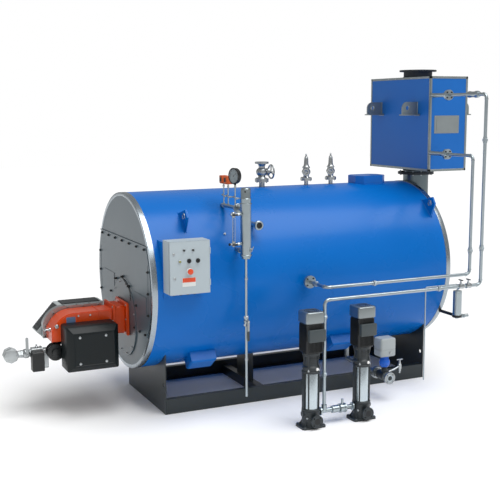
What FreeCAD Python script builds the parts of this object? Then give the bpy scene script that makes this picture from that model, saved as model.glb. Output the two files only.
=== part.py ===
import FreeCAD, Part
import math
import os
from FreeCAD import Vector

# A packaged fire-tube steam boiler: an insulated horizontal drum on a steel skid, with its burner and
# gas train at the front, its flue-gas economiser above the rear end, its water column and controls on
# the near side, and two vertical feed pumps on the floor beside it.
#
# Millimetres.  X runs along the drum from the burner end to the flue end, Y points away from the
# operator's side, Z is up.  The origin is on the floor, under the middle of the front saddle plate.

os.makedirs("parts", exist_ok=True)

X = Vector(1, 0, 0)
Y = Vector(0, 1, 0)
Z = Vector(0, 0, 1)

# Drum
DRUM_R = 900
DRUM_LENGTH = 3420
DRUM_Z = 1288
FRONT_X = -222
REAR_X = FRONT_X + DRUM_LENGTH
JACKET_T = 80
END_COVER_T = 43
LUG_X = (188, 3063)
HANDHOLE_X = (390, 2003)
MANHOLE_X = 2670

# Skid
SKID_HALF = 598
RAIL_H = 155
RAIL_W = 60
WEB_T = 8
FLANGE_T = 11
SADDLE_T = 12
MIDDLE_SADDLE_X = 1140
MIDDLE_SADDLE_HALF = 200
REAR_SADDLE_X = 3079
SADDLE_TOP = DRUM_Z - math.sqrt(DRUM_R**2 - SKID_HALF**2)

# Burner
BURNER_Z = 905
BURNER_PLATE_R = 400
BURNER_PLATE_T = 12
BURNER_HALF = 130
GAS_Y = 50
GAS_Z = 620
COCK_X = -1235
COCK_END = -12
LEVER_GAP = 1

# Economiser
ECO_X = REAR_X + 148
ECO_SIZE = (496, 1190, 1029)
ECO_BASE_Z = 2332
DUCT_R = 146
FLUE_FLANGE_R = 210
FLUE_BORE_R = 150
FLUE_NECK_H = 90
NOZZLE_X = 3120
NOZZLE_Y = -890
NOZZLE_Z = (2533, 3157)

# Feed pumps and feed-water pipes
PUMP_X = (1140, 1704)
PUMP_Y = -1512
HEADER_Z = 135
PIPE_R = 17
SUPPLY_X = 1285
SUPPLY_Z = 1222
RETURN_Y = -1330
RETURN_Z = 1302
FEED_X = 1408
FEED_Y = -985
LEVEL_X = 908

# Control panel
PANEL_X = (-116, 284)
PANEL_Y = (-1095, -910)
PANEL_Z = (1312, 1812)
DOOR_T = 20
DOOR_GAP = 5

# Water column and instruments
COLUMN_X = 678
COLUMN_Y = -1045
COLUMN_R = 52
COLUMN_Z = (1597, 2280)
MANIFOLD_Z = 2066
DRAIN_VALVE_Z = 985


def box(x, y, z):
    """A block between the low and high limits given for each axis."""
    return Part.makeBox(x[1] - x[0], y[1] - y[0], z[1] - z[0], Vector(x[0], y[0], z[0]))


def grown(span, by):
    """A pair of limits moved apart, or together where the amount is negative."""
    return (span[0] - by, span[1] + by)


def rod(start, direction, radius, length):
    """A round bar that starts at a point and runs along a direction."""
    return Part.makeCylinder(radius, length, Vector(*start), direction)


def ring(start, direction, outer, inner, length):
    """A round bar with a hole through it."""
    return rod(start, direction, outer, length).cut(rod(start, direction, inner, length))


def ball(centre, radius):
    return Part.makeSphere(radius, Vector(*centre))


def join(*solids):
    """One solid from several that touch."""
    return solids[0].multiFuse(list(solids[1:])).removeSplitter()


def mirror(solid):
    """The same piece on the other side of the drum's middle plane."""
    return solid.mirror(Vector(0, 0, 0), Y)


def keep(node, *solids):
    """Writes one sub-part; solids given apart stay apart."""
    shape = solids[0] if len(solids) == 1 else Part.makeCompound(list(solids))
    shape.exportStep(f"parts/{node}.step")


def circle_points(centre, radius, count, first_deg, across, up):
    """Points evenly spaced on a circle in the plane of two unit vectors."""
    angles = [math.radians(first_deg + 360 * i / count) for i in range(count)]
    return [Vector(*centre) + across * (radius * math.cos(a)) + up * (radius * math.sin(a)) for a in angles]


def flange(start, direction, radius, thickness, pitch_r=0, holes=4, hole_r=7, first_deg=45):
    """A round flange; with a pitch radius it has its bolt holes too."""
    plate = rod(start, direction, radius, thickness)
    if pitch_r:
        across = Z if abs(direction.z) < 0.5 else X
        up = direction.cross(across)
        centres = circle_points(start, pitch_r, holes, first_deg, across, up)
        plate = plate.cut(Part.makeCompound([Part.makeCylinder(hole_r, thickness, c, direction) for c in centres]))
    return plate


def pipe(points, radius, bend):
    """A round pipe along straight runs joined by tangent arcs."""
    corners = [Vector(*p) for p in points]
    edges = []
    at = corners[0]
    for before, corner, after in zip(corners, corners[1:], corners[2:]):
        into = (corner - before).normalize()
        out = (after - corner).normalize()
        trim = bend * math.tan(into.getAngle(out) / 2)
        start = corner - into * trim
        end = corner + out * trim
        middle = (start + end) * 0.5
        centre = corner + (middle - corner).normalize() * (bend / math.cos(into.getAngle(out) / 2))
        through = centre + (corner - centre).normalize() * bend
        edges.append(Part.LineSegment(at, start).toShape())
        edges.append(Part.Arc(start, through, end).toShape())
        at = end
    edges.append(Part.LineSegment(at, corners[-1]).toShape())
    first = (corners[1] - corners[0]).normalize()
    section = Part.Wire([Part.makeCircle(radius, corners[0], first)])
    return Part.Wire(edges).makePipeShell([section], True, True)


def plate_xz(outline, y):
    """A plate or block from an outline in the X-Z plane; a point with three items is an arc's middle."""
    edges = []
    at = Vector(outline[0][0], y[0], outline[0][1])
    through = None
    for item in outline[1:] + outline[:1]:
        point = Vector(item[0], y[0], item[1])
        if len(item) == 3:
            through = point
            continue
        edge = Part.Arc(at, through, point) if through else Part.LineSegment(at, point)
        edges.append(edge.toShape())
        at = point
        through = None
    return Part.Face(Part.Wire(edges)).extrude(Y * (y[1] - y[0]))


def drum_block(radius, x):
    """A cylinder about the drum's axis between two values of X."""
    return rod((x[0], 0, DRUM_Z), X, radius, x[1] - x[0])


DRUM = drum_block(DRUM_R, (FRONT_X, REAR_X))


# ---------------------------------------------------------------- skid

def saddle(x, half):
    """A cross plate whose top edge is cut to the drum."""
    return box((x - SADDLE_T / 2, x + SADDLE_T / 2), (-half, half), (0, SADDLE_TOP)).cut(DRUM)


def end_saddle(x):
    """A saddle over the skid's whole width, with a lashing hole near each edge."""
    holes = [rod((x - SADDLE_T, side * 545, 292), X, 22, 2 * SADDLE_T) for side in (-1, 1)]
    return saddle(x, SKID_HALF).cut(Part.makeCompound(holes))


def skid_rail():
    """The near channel, its web outside, between the end saddles."""
    length = (SADDLE_T / 2, REAR_SADDLE_X - SADDLE_T / 2)
    outer = box(length, (-SKID_HALF, -SKID_HALF + RAIL_W), (0, RAIL_H))
    return outer.cut(box(length, (-SKID_HALF + WEB_T, -SKID_HALF + RAIL_W), (FLANGE_T, RAIL_H - FLANGE_T)))


def middle_saddle():
    """A narrow plate under the drum's middle, on a cross member between the rails."""
    inside = SKID_HALF - RAIL_W
    beam = box((MIDDLE_SADDLE_X - 40, MIDDLE_SADDLE_X + 40), (-inside, inside), (0, 100))
    return join(beam, saddle(MIDDLE_SADDLE_X, MIDDLE_SADDLE_HALF))


keep("skid_rails", skid_rail(), mirror(skid_rail()))
keep("end_saddles", end_saddle(0), end_saddle(REAR_SADDLE_X))
keep("middle_saddle", middle_saddle())


# ---------------------------------------------------------------- drum

def drum_jacket():
    span = (FRONT_X + END_COVER_T, REAR_X - END_COVER_T)
    return drum_block(DRUM_R, span).cut(drum_block(DRUM_R - JACKET_T, span))


def smokebox_door():
    """A bolted cover plate over the tube ends, cut round the burner plate."""
    t = 8
    door = drum_block(862, (FRONT_X - t, FRONT_X))
    door = door.common(box((FRONT_X - t, FRONT_X), (-DRUM_R, DRUM_R), (840, 1735)))
    return door.cut(rod((FRONT_X - t, 0, BURNER_Z), X, BURNER_PLATE_R + 8, t))


def lifting_lug(x):
    """A triangular plate across the drum's shoulder, with a shackle hole."""
    corners = [(885, 36), (1069, 43.5), (1053, 48), (885, 52.5)]
    points = [Vector(x - 10, -r * math.sin(math.radians(a)), DRUM_Z + r * math.cos(math.radians(a)))
              for r, a in corners]
    plate = Part.Face(Part.makePolygon(points + points[:1])).extrude(X * 20)
    hole_a = math.radians(44.5)
    hole = rod((x - 12, -990 * math.sin(hole_a), DRUM_Z + 990 * math.cos(hole_a)), X, 22, 24)
    return plate.cut(hole).cut(DRUM)


def handhole_cover(x):
    """An insulated box over an inspection hole low on the drum's side."""
    block = box((x - 135, x + 135), (-95, 95), (-1010, -800))
    block = block.makeChamfer(14, [e for e in block.Edges if e.BoundBox.ZMax < -1000])
    block.rotate(Vector(x, 0, 0), X, -36)
    block.translate(Z * DRUM_Z)
    return block.cut(DRUM)


def manhole_cover():
    """An insulated cover with cut corners on top of the drum."""
    half_x, half_y, corner = 192, 150, 70
    outline = [(half_x, half_y - corner), (half_x - corner, half_y)]
    outline += [(corner - half_x, half_y), (-half_x, half_y - corner)]
    outline += [(-px, -py) for px, py in outline]
    points = [Vector(MANHOLE_X + px, py, DRUM_Z + 800) for px, py in outline]
    block = Part.Face(Part.makePolygon(points + points[:1])).extrude(Z * 184)
    return block.cut(DRUM)


keep("drum_jacket", drum_jacket())
keep("front_end_cover", drum_block(DRUM_R, (FRONT_X, FRONT_X + END_COVER_T)))
keep("rear_end_cover", drum_block(DRUM_R, (REAR_X - END_COVER_T, REAR_X)))
keep("smokebox_door", smokebox_door())
near_lugs = [lifting_lug(x) for x in LUG_X]
keep("lifting_lugs", *near_lugs, *[mirror(lug) for lug in near_lugs])
near_covers = [handhole_cover(x) for x in HANDHOLE_X]
keep("handhole_covers", *near_covers, *[mirror(cover) for cover in near_covers])
keep("manhole_cover", manhole_cover())


# ---------------------------------------------------------------- fittings on top of the drum

DRUM_TOP = DRUM_Z + DRUM_R
STEAM_X = 1350
STEAM_WHEEL_X = STEAM_X + 112
STEAM_WHEEL_Z = 2346
SAFETY_X = (1893, 2202)


def steam_valve():
    """A flanged globe valve on a stub, its bonnet lying along the drum."""
    return join(
        rod((STEAM_X, 0, DRUM_TOP - 12), Z, 31, 90),
        flange((STEAM_X, 0, 2240), Z, 75, 18),
        flange((STEAM_X, 0, 2258), Z, 75, 18),
        rod((STEAM_X, 0, 2276), Z, 34, 160),
        ball((STEAM_X, 0, STEAM_WHEEL_Z), 56),
        rod((STEAM_X, 0, STEAM_WHEEL_Z), X, 30, 72),
        rod((STEAM_X + 60, 0, STEAM_WHEEL_Z), X, 42, 12),
        rod((STEAM_X + 72, 0, STEAM_WHEEL_Z), X, 9, 26),
        flange((STEAM_X, 0, 2436), Z, 75, 20, pitch_r=55),
    ).cut(DRUM)


def steam_handwheel():
    """The stop valve's wheel: a round rim on three spokes and a hub."""
    rim = Part.makeTorus(72, 9, Vector(STEAM_WHEEL_X, 0, STEAM_WHEEL_Z), X)
    hub = rod((STEAM_WHEEL_X - 13, 0, STEAM_WHEEL_Z), X, 17, 26)
    spokes = []
    for i in range(3):
        a = math.radians(90 + 120 * i)
        spokes.append(rod((STEAM_WHEEL_X, 0, STEAM_WHEEL_Z), Vector(0, math.cos(a), math.sin(a)), 7, 72))
    return join(rim, hub, *spokes)


def safety_valve(x):
    """A spring-loaded angle valve: stub, flanges, body with a side outlet, and its spring bonnet."""
    return join(
        rod((x, 0, DRUM_TOP - 12), Z, 24, 62),
        flange((x, 0, 2236), Z, 64, 16),
        flange((x, 0, 2252), Z, 64, 16),
        rod((x, 0, 2268), Z, 30, 40),
        ball((x, 0, 2330), 50),
        rod((x, 0, 2330), Vector(-0.5, -0.87, 0), 34, 62),
        rod((x, 0, 2330), Z, 38, 62),
        rod((x, 0, 2392), Z, 25, 96),
        rod((x, 0, 2488), Z, 11, 44),
    ).cut(DRUM)


keep("steam_valve", steam_valve())
keep("steam_handwheel", steam_handwheel())
keep("safety_valves", *[safety_valve(x) for x in SAFETY_X])


# ---------------------------------------------------------------- burner

HEAD_X = FRONT_X - BURNER_PLATE_T


def burner_housing():
    """The cast air housing: two flanges with the head between, and the arm that turns down at its end."""
    head = box((HEAD_X - 30, HEAD_X), (-200, 200), (749, 1087))
    head = head.makeFillet(30, [e for e in head.Edges if abs(e.tangentAt(e.FirstParameter).x) > 0.9])
    outline = [(HEAD_X - 30, 785), (HEAD_X - 30, 1025), (-720, 1022), (-890, 985, "arc"), (-1010, 880),
               (-1010, 745), (-875, 745), (-875, 790), (-850, 840, "arc"), (-800, 860), (-425, 860), (-380, 785)]
    arm = plate_xz(outline, (-BURNER_HALF, BURNER_HALF))
    neck = box((HEAD_X - 138, HEAD_X - 30), (-150, 150), (772, 1052))
    joint = box((HEAD_X - 158, HEAD_X - 134), (-172, 172), (752, 1074))
    return join(head, neck, joint, arm)


def fan_housing():
    """The aluminium half of the fan casing, bolted to the far side of the air housing."""
    outline = [(-430, 1048), (-800, 1048), (-965, 1000, "arc"), (-1040, 880), (-1040, 735), (-430, 735)]
    return plate_xz(outline, (BURNER_HALF, BURNER_HALF + 70))


def air_intake():
    """The silenced air intake, whose hood slopes down at its open end."""
    outline = [(-392, 1048), (-862, 1048), (-1092, 790), (-1012, 718), (-836, 812), (-392, 812)]
    return plate_xz(outline, (BURNER_HALF + 70, BURNER_HALF + 290))


def burner_cabinet():
    """The burner's control cabinet, whose lid has a broad bevel all round."""
    x, z, lid_y, bevel = (-922, -402), (485, 930), -360, 54
    back = box(x, (lid_y, -BURNER_HALF), z)
    wires = []
    for y, x, z in ((lid_y, x, z), (lid_y - 55, grown(x, -bevel), grown(z, -bevel))):
        corners = [Vector(x[0], y, z[0]), Vector(x[1], y, z[0]), Vector(x[1], y, z[1]), Vector(x[0], y, z[1])]
        wires.append(Part.makePolygon(corners + corners[:1]))
    return join(back, Part.makeLoft(wires, True, True))


def fan_motor():
    """The fan motor under the arm, on its mounting block."""
    return join(rod((-972, -125, 640), Y, 85, 115), rod((-972, -150, 640), Y, 46, 25),
                box((-985, -865), (-60, 60), (700, 745)))


def gas_train():
    """Filter, ball cock and gas valve in line, ending at the burner."""
    return join(
        rod((-1440, GAS_Y, GAS_Z), X, 22, 535),
        ball((-905, GAS_Y, GAS_Z), 22),
        rod((-905, GAS_Y, GAS_Z), Z, 22, 80),
        rod((-1387, GAS_Y - 50, GAS_Z), Y, 75, 100),
        rod((-1387, GAS_Y - 58, GAS_Z), Y, 62, 8),
        ring((-1387, GAS_Y + 50, GAS_Z), Y, 34, 21, 30),
        rod((-1290, GAS_Y, GAS_Z), X, 40, 24),
        rod((-1266, GAS_Y, GAS_Z), X, 47, 62),
        rod((-1204, GAS_Y, GAS_Z), X, 40, 20),
        rod((COCK_X, COCK_END, GAS_Z), Y, 12, GAS_Y - COCK_END),
        box((-1184, -1092), (GAS_Y - 45, GAS_Y + 45), (GAS_Z - 50, GAS_Z + 50)),
        box((-1076, -1022), (GAS_Y - 50, GAS_Y + 50), (GAS_Z - 160, GAS_Z + 35)),
    )


def gas_actuator():
    """The gas valve's motor box, hung on the near side of the valve block."""
    return box((-1200, -1080), (GAS_Y - 135, GAS_Y - 45), (GAS_Z - 165, GAS_Z + 30))


def gas_cock_lever():
    """The cock's handle, upright when shut, on its spindle's end."""
    y = COCK_END - LEVER_GAP
    hub = rod((COCK_X, y - 12, GAS_Z), Y, 17, 12)
    grip = box((COCK_X - 14, COCK_X + 14), (y - 10, y - 2), (GAS_Z, GAS_Z + 176))
    grip = grip.makeFillet(12, [e for e in grip.Edges if abs(e.tangentAt(e.FirstParameter).y) > 0.9
                                and e.BoundBox.ZMin > GAS_Z + 100])
    return join(hub, grip)


keep("burner_plate", rod((FRONT_X - BURNER_PLATE_T, 0, BURNER_Z), X, BURNER_PLATE_R, BURNER_PLATE_T))
keep("burner_housing", burner_housing())
keep("fan_housing", fan_housing())
keep("air_intake", air_intake())
keep("burner_cabinet", burner_cabinet())
keep("fan_motor", fan_motor())
keep("gas_train", gas_train())
keep("gas_actuator", gas_actuator())
keep("gas_cock_lever", gas_cock_lever())


# ---------------------------------------------------------------- economiser

ECO_X_SPAN = (ECO_X - ECO_SIZE[0] / 2, ECO_X + ECO_SIZE[0] / 2)
ECO_Y_SPAN = (-ECO_SIZE[1] / 2, ECO_SIZE[1] / 2)
ECO_Z_SPAN = (ECO_BASE_Z, ECO_BASE_Z + ECO_SIZE[2])
ECO_TOP = ECO_Z_SPAN[1]


def economiser_frame():
    """Folded edge strips: a thin shell round the casing with a window cut through each pair of faces."""
    t, w = 3, 22
    spans = (ECO_X_SPAN, ECO_Y_SPAN, ECO_Z_SPAN)
    frame = box(*[grown(s, t) for s in spans]).cut(box(*spans))
    for axis in range(3):
        window = [grown(s, 2 * t) if i == axis else grown(s, -w) for i, s in enumerate(spans)]
        frame = frame.cut(box(*window))
    return frame.cut(Part.makeCompound([economiser_nozzle(z) for z in NOZZLE_Z]))


def economiser_lug(side, y):
    """A lifting eye on a shelf plate, welded to the casing's end."""
    face = ECO_X + side * ECO_SIZE[0] / 2
    tip = face + side * 205
    hole_x = face + side * 135
    shelf = box(sorted((face, tip)), (y - 50, y + 50), (2940, 2952))
    outline = [(face, 2952), (tip, 2952), (tip, 3020), (tip - side * 20, 3069, "arc"), (hole_x, 3090), (face, 3090)]
    eye = plate_xz(outline, (y - 8, y + 8)).cut(rod((hole_x, y - 8, 3022), Y, 24, 16))
    return join(shelf, eye)


def flue_outlet():
    """The neck and flange on the roof that the chimney stands on."""
    neck = ring((ECO_X, 0, ECO_TOP), Z, FLUE_BORE_R + 12, FLUE_BORE_R, FLUE_NECK_H)
    top = flange((ECO_X, 0, ECO_TOP + FLUE_NECK_H - 18), Z, FLUE_FLANGE_R, 18, pitch_r=192, holes=12, first_deg=15)
    return join(neck, top.cut(rod((ECO_X, 0, ECO_TOP), Z, FLUE_BORE_R, 200)))


def flue_duct():
    """The duct behind the drum, with the flange pair under the economiser."""
    return join(
        rod((ECO_X, 0, 1480), Z, DUCT_R, ECO_BASE_Z - 1480),
        flange((ECO_X, 0, 2262), Z, 205, 14),
        flange((ECO_X, 0, 2276), Z, 205, 14),
    )


def rear_smokebox():
    """The gas box that joins the drum's rear end to the duct."""
    chamber = box((REAR_X, ECO_X), (-200, 200), (1500, 1900))
    return chamber.cut(rod((ECO_X, 0, 1400), Z, DUCT_R, 600))


def economiser_nozzle(z):
    """A water connection on the near side of the casing."""
    return join(rod((NOZZLE_X, NOZZLE_Y, z), Y, 24, ECO_Y_SPAN[0] - NOZZLE_Y),
                flange((NOZZLE_X, NOZZLE_Y, z), Y, 55, 16))


keep("economiser_casing", box(ECO_X_SPAN, ECO_Y_SPAN, ECO_Z_SPAN))
keep("economiser_frame", economiser_frame())
keep("economiser_lugs", *[economiser_lug(side, y) for side in (-1, 1) for y in (-360, 360)])
keep("flue_outlet", flue_outlet())
keep("flue_duct", flue_duct())
keep("rear_smokebox", rear_smokebox())
keep("economiser_nozzles", *[economiser_nozzle(z) for z in NOZZLE_Z])


# ---------------------------------------------------------------- feed water

BASE_H = 165
SLEEVE_TOP = 558
LANTERN_TOP = 735
MOTOR_TOP = 1028
PUMP_TOP = 1135
PORT_Z = 82
BOSS_REACH = 96


def pump_base(x):
    """The cast foot: four feet, suction nozzle towards the operator and a delivery boss at each side."""
    foot = box((x - 125, x + 125), (PUMP_Y - 90, PUMP_Y + 90), (0, 20))
    foot = foot.makeFillet(30, [e for e in foot.Edges if abs(e.tangentAt(e.FirstParameter).z) > 0.9])
    return join(
        foot,
        rod((x, PUMP_Y, 20), Z, 84, BASE_H - 20),
        rod((x, PUMP_Y, PORT_Z), -Y, 38, 118),
        flange((x, PUMP_Y - 118, PORT_Z), -Y, 63, 16, pitch_r=49),
        rod((x - BOSS_REACH, PUMP_Y, HEADER_Z), X, 26, 2 * BOSS_REACH),
    )


def pump_sleeve(x):
    """The stainless stage sleeve between its two end rings, held by four staybolts."""
    stays = circle_points((x, PUMP_Y, BASE_H), 79, 4, 45, X, Y)
    return join(
        rod((x, PUMP_Y, BASE_H), Z, 71, SLEEVE_TOP - BASE_H),
        rod((x, PUMP_Y, BASE_H), Z, 88, 20),
        rod((x, PUMP_Y, SLEEVE_TOP - 22), Z, 88, 22),
        *[Part.makeCylinder(7, SLEEVE_TOP - BASE_H, p, Z) for p in stays],
    )


def upright_block(x, half, z):
    """A square housing about a pump's axis, with rounded corners."""
    block = box((x - half, x + half), (PUMP_Y - half, PUMP_Y + half), z)
    return block.makeFillet(28, [e for e in block.Edges if abs(e.tangentAt(e.FirstParameter).z) > 0.9])


def pump_motor(x):
    """The coupling lantern, the square motor housing with its terminal box, and the fan cowl."""
    cowl = upright_block(x, 98, (MOTOR_TOP, PUMP_TOP))
    return join(
        rod((x, PUMP_Y, SLEEVE_TOP), Z, 80, 40),
        rod((x, PUMP_Y, SLEEVE_TOP), Z, 64, LANTERN_TOP - SLEEVE_TOP),
        rod((x, PUMP_Y, LANTERN_TOP - 24), Z, 86, 24),
        upright_block(x, 92, (LANTERN_TOP, MOTOR_TOP)),
        box((x - 80, x + 92), (PUMP_Y - 122, PUMP_Y - 80), (853, 971)),
        cowl.makeFillet(8, [e for e in cowl.Edges if e.BoundBox.ZMin > PUMP_TOP - 1]),
    )


CHECK_VALVE_X = 1370
ISOLATOR_X = 1488


def header():
    """The delivery line between the pumps: check valve, tee and isolating valve."""
    start = PUMP_X[0] + BOSS_REACH
    length = PUMP_X[1] - BOSS_REACH - start
    nut_t = 14
    return join(
        rod((start, PUMP_Y, HEADER_Z), X, 22, length),
        rod((start, PUMP_Y, HEADER_Z), X, 40, nut_t),
        rod((start + length - nut_t, PUMP_Y, HEADER_Z), X, 40, nut_t),
        rod((CHECK_VALVE_X, PUMP_Y, HEADER_Z), X, 36, 70),
        rod((ISOLATOR_X - 33, PUMP_Y, HEADER_Z), X, 45, 18),
        rod((ISOLATOR_X - 15, PUMP_Y, HEADER_Z), X, 40, 30),
        rod((ISOLATOR_X + 15, PUMP_Y, HEADER_Z), X, 45, 18),
        rod((ISOLATOR_X, PUMP_Y, HEADER_Z), Z, 12, 90),
    )


def supply_pipe():
    """From the pump delivery line up along the drum to the economiser's upper nozzle."""
    route = [(SUPPLY_X, PUMP_Y, HEADER_Z), (SUPPLY_X, PUMP_Y, SUPPLY_Z), (NOZZLE_X, PUMP_Y, SUPPLY_Z),
             (NOZZLE_X, PUMP_Y, NOZZLE_Z[1]), (NOZZLE_X, NOZZLE_Y - 16, NOZZLE_Z[1])]
    return join(
        pipe(route, PIPE_R, 48),
        header(),
        rod((SUPPLY_X, PUMP_Y, HEADER_Z), Z, 26, 60),
        flange((NOZZLE_X, NOZZLE_Y - 16, NOZZLE_Z[1]), Y, 55, 16),
        rod((NOZZLE_X, NOZZLE_Y - 500, NOZZLE_Z[1]), Y, 29, 150),
    )


def return_pipe():
    """From the economiser's lower nozzle down and forward to the feed nozzle on the drum."""
    route = [(NOZZLE_X, NOZZLE_Y - 16, NOZZLE_Z[0]), (NOZZLE_X, RETURN_Y, NOZZLE_Z[0]),
             (NOZZLE_X, RETURN_Y, RETURN_Z), (FEED_X, RETURN_Y, RETURN_Z), (FEED_X, FEED_Y - 16, RETURN_Z)]
    return join(
        pipe(route, PIPE_R, 48),
        flange((NOZZLE_X, NOZZLE_Y - 16, NOZZLE_Z[0]), Y, 55, 16),
        flange((FEED_X, FEED_Y - 16, RETURN_Z), Y, 64, 16),
    )


def drum_nozzle(x, y, z, pipe_r, flange_r):
    """A short branch on the drum's near side with its flange."""
    branch = join(rod((x, y, z), Y, pipe_r, -600 - y), flange((x, y, z), Y, flange_r, 16))
    return branch.cut(DRUM)


for number, x in enumerate(PUMP_X, 1):
    keep(f"pump_{number}_base", pump_base(x))
    keep(f"pump_{number}_sleeve", pump_sleeve(x))
    keep(f"pump_{number}_motor", pump_motor(x))
keep("supply_pipe", supply_pipe())
keep("return_pipe", return_pipe())
keep("drum_nozzles", drum_nozzle(FEED_X, FEED_Y, RETURN_Z, 24, 64), drum_nozzle(LEVEL_X, -850, 1884, 24, 46))


# ---------------------------------------------------------------- blow-down and sampling

BLOWDOWN_X = 2245
BLOWDOWN_Z = 250


def blowdown_valve():
    """The bottom blow-down line: elbow under the drum, flange pair, ball valve and outlet flange."""
    route = [(BLOWDOWN_X, -330, 520), (BLOWDOWN_X, -330, BLOWDOWN_Z), (BLOWDOWN_X, -1182, BLOWDOWN_Z)]
    return join(
        pipe(route, 24, 60),
        flange((BLOWDOWN_X, -940, BLOWDOWN_Z), Y, 62, 16),
        flange((BLOWDOWN_X, -956, BLOWDOWN_Z), Y, 62, 16),
        rod((BLOWDOWN_X, -1120, BLOWDOWN_Z), Y, 46, 120),
        flange((BLOWDOWN_X, -1182, BLOWDOWN_Z), -Y, 63, 18, pitch_r=48),
        rod((BLOWDOWN_X, -1090, BLOWDOWN_Z), Z, 20, 110),
        ball((BLOWDOWN_X, -1090, 398), 55),
    ).cut(DRUM)


def blowdown_actuator():
    """The electric drive on the ball valve's spindle."""
    drive = box((BLOWDOWN_X - 92, BLOWDOWN_X + 92), (-1165, -1015), (470, 665))
    drive = drive.makeFillet(16, drive.Edges)
    return join(drive, rod((BLOWDOWN_X, -1090, 440), Z, 22, 60)).cut(ball((BLOWDOWN_X, -1090, 398), 55))


def sample_cooler():
    """An upright cooler on an arm from the drum's rear rim, and its small drain tube."""
    x, y, drain_x = REAR_X - 8, -1050, 2772
    return join(
        rod((x, y, 790), Z, 47, 278),
        rod((x, y, 765), Z, 20, 25),
        box((x - 10, x + 10), (y + 40, -700), (778, 803)).cut(DRUM),
        rod((x, y, 780), X, 12, 150),
        pipe([(x, y, 1060), (x, y, 1140), (drain_x, y, 1140), (drain_x, y, 130)], 7, 22),
    )


keep("blowdown_valve", blowdown_valve())
keep("blowdown_actuator", blowdown_actuator())
keep("sample_cooler", sample_cooler())


# ---------------------------------------------------------------- control panel

def control_panel():
    """The open-fronted steel box, with its mounting plate inside."""
    front = PANEL_Y[0] + DOOR_T + DOOR_GAP
    outer = box(PANEL_X, (front, PANEL_Y[1]), PANEL_Z)
    inner = box(grown(PANEL_X, -3), (front, PANEL_Y[1] - 3), grown(PANEL_Z, -3))
    plate = box(grown(PANEL_X, -35), (PANEL_Y[1] - 12, PANEL_Y[1] - 3), grown(PANEL_Z, -35))
    return join(outer.cut(inner), plate)


def panel_bracket():
    """Two cheek plates from the drum's jacket and the back plate that carries the box."""
    cheeks = [box((x, x + 5), (PANEL_Y[1], -600), (1252, 1790)) for x in (PANEL_X[0], PANEL_X[1] - 5)]
    back = box(PANEL_X, (PANEL_Y[1], PANEL_Y[1] + 5), (1252, 1790))
    return join(back, *cheeks).cut(DRUM)


def panel_door():
    """The door, with two hinge knuckles on its front corner."""
    knuckles = [rod((PANEL_X[1], PANEL_Y[0], z), Z, 6, 60) for z in (PANEL_Z[0] + 70, PANEL_Z[1] - 130)]
    return join(box(PANEL_X, (PANEL_Y[0], PANEL_Y[0] + DOOR_T), PANEL_Z), *knuckles)


keep("panel_bracket", panel_bracket())
keep("control_panel", control_panel())
keep("panel_door", panel_door())


# ---------------------------------------------------------------- water column and instruments

def water_column():
    """The stainless column with its cap, clamp ring and end flanges."""
    low, high = COLUMN_Z
    return join(
        rod((COLUMN_X, COLUMN_Y, low + 20), Z, COLUMN_R, high - low - 120),
        rod((COLUMN_X, COLUMN_Y, high - 100), Z, COLUMN_R - 4, 100),
        rod((COLUMN_X, COLUMN_Y, high - 160), Z, COLUMN_R + 6, 14),
        rod((COLUMN_X, COLUMN_Y, low + 28), Z, COLUMN_R + 5, 14),
        rod((COLUMN_X, COLUMN_Y, low), Z, COLUMN_R - 8, 20),
        rod((COLUMN_X, COLUMN_Y, 1660), Y, 20, 400),
    ).cut(DRUM)


def gauge_glass():
    """The level gauge beside the column: two cocks and the glass between them."""
    x = COLUMN_X - 130
    top, bottom = 2030, 1745
    arms = [rod((x - 32, COLUMN_Y, z), X, 12, 130 + 32 - COLUMN_R + 1) for z in (bottom, top)]
    cocks = [rod((x, COLUMN_Y, z - 24), Z, 19, 48) for z in (bottom, top)]
    return join(rod((x, COLUMN_Y, bottom), Z, 11, top - bottom), *arms, *cocks).cut(
        rod((COLUMN_X, COLUMN_Y, 1600), Z, COLUMN_R, 600))


def drain_pipe():
    """The column's drain down to the floor gully, with its ball valve."""
    return join(
        rod((COLUMN_X, COLUMN_Y, 228), Z, 12.5, COLUMN_Z[0] - 228),
        rod((COLUMN_X, COLUMN_Y, DRAIN_VALVE_Z - 42), Z, 21, 84),
        ball((COLUMN_X, COLUMN_Y, DRAIN_VALVE_Z), 27),
        rod((COLUMN_X, COLUMN_Y, DRAIN_VALVE_Z), -Y, 8, 44),
    )


def drain_lever():
    """The drain valve's handle, hanging along the pipe when open."""
    y = COLUMN_Y - 44 - LEVER_GAP
    hub = rod((COLUMN_X, y, DRAIN_VALVE_Z), -Y, 14, 9)
    blade = box((COLUMN_X - 11, COLUMN_X + 11), (y - 8, y - 2), (DRAIN_VALVE_Z - 190, DRAIN_VALVE_Z))
    return join(hub, blade)


STALK_Y = (-520, -630, -800)


def instrument_manifold():
    """The steam connection from the drum to the column, with three siphons rising from it."""
    route = [(COLUMN_X, -455, 2020), (COLUMN_X, -455, MANIFOLD_Z), (COLUMN_X, COLUMN_Y, MANIFOLD_Z)]
    stalks = [rod((COLUMN_X, y, MANIFOLD_Z), Z, 8, top - MANIFOLD_Z) for y, top in zip(STALK_Y, (2285, 2285, 2296))]
    return join(
        pipe(route, 19, 30),
        flange((COLUMN_X, -850, MANIFOLD_Z), -Y, 48, 14),
        flange((COLUMN_X, -864, MANIFOLD_Z), -Y, 48, 14),
        *stalks,
        *[rod((COLUMN_X, y, MANIFOLD_Z + 60), Z, 16, 70) for y in STALK_Y],
    ).cut(DRUM).cut(rod((COLUMN_X, COLUMN_Y, 1600), Z, COLUMN_R, 700))


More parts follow.
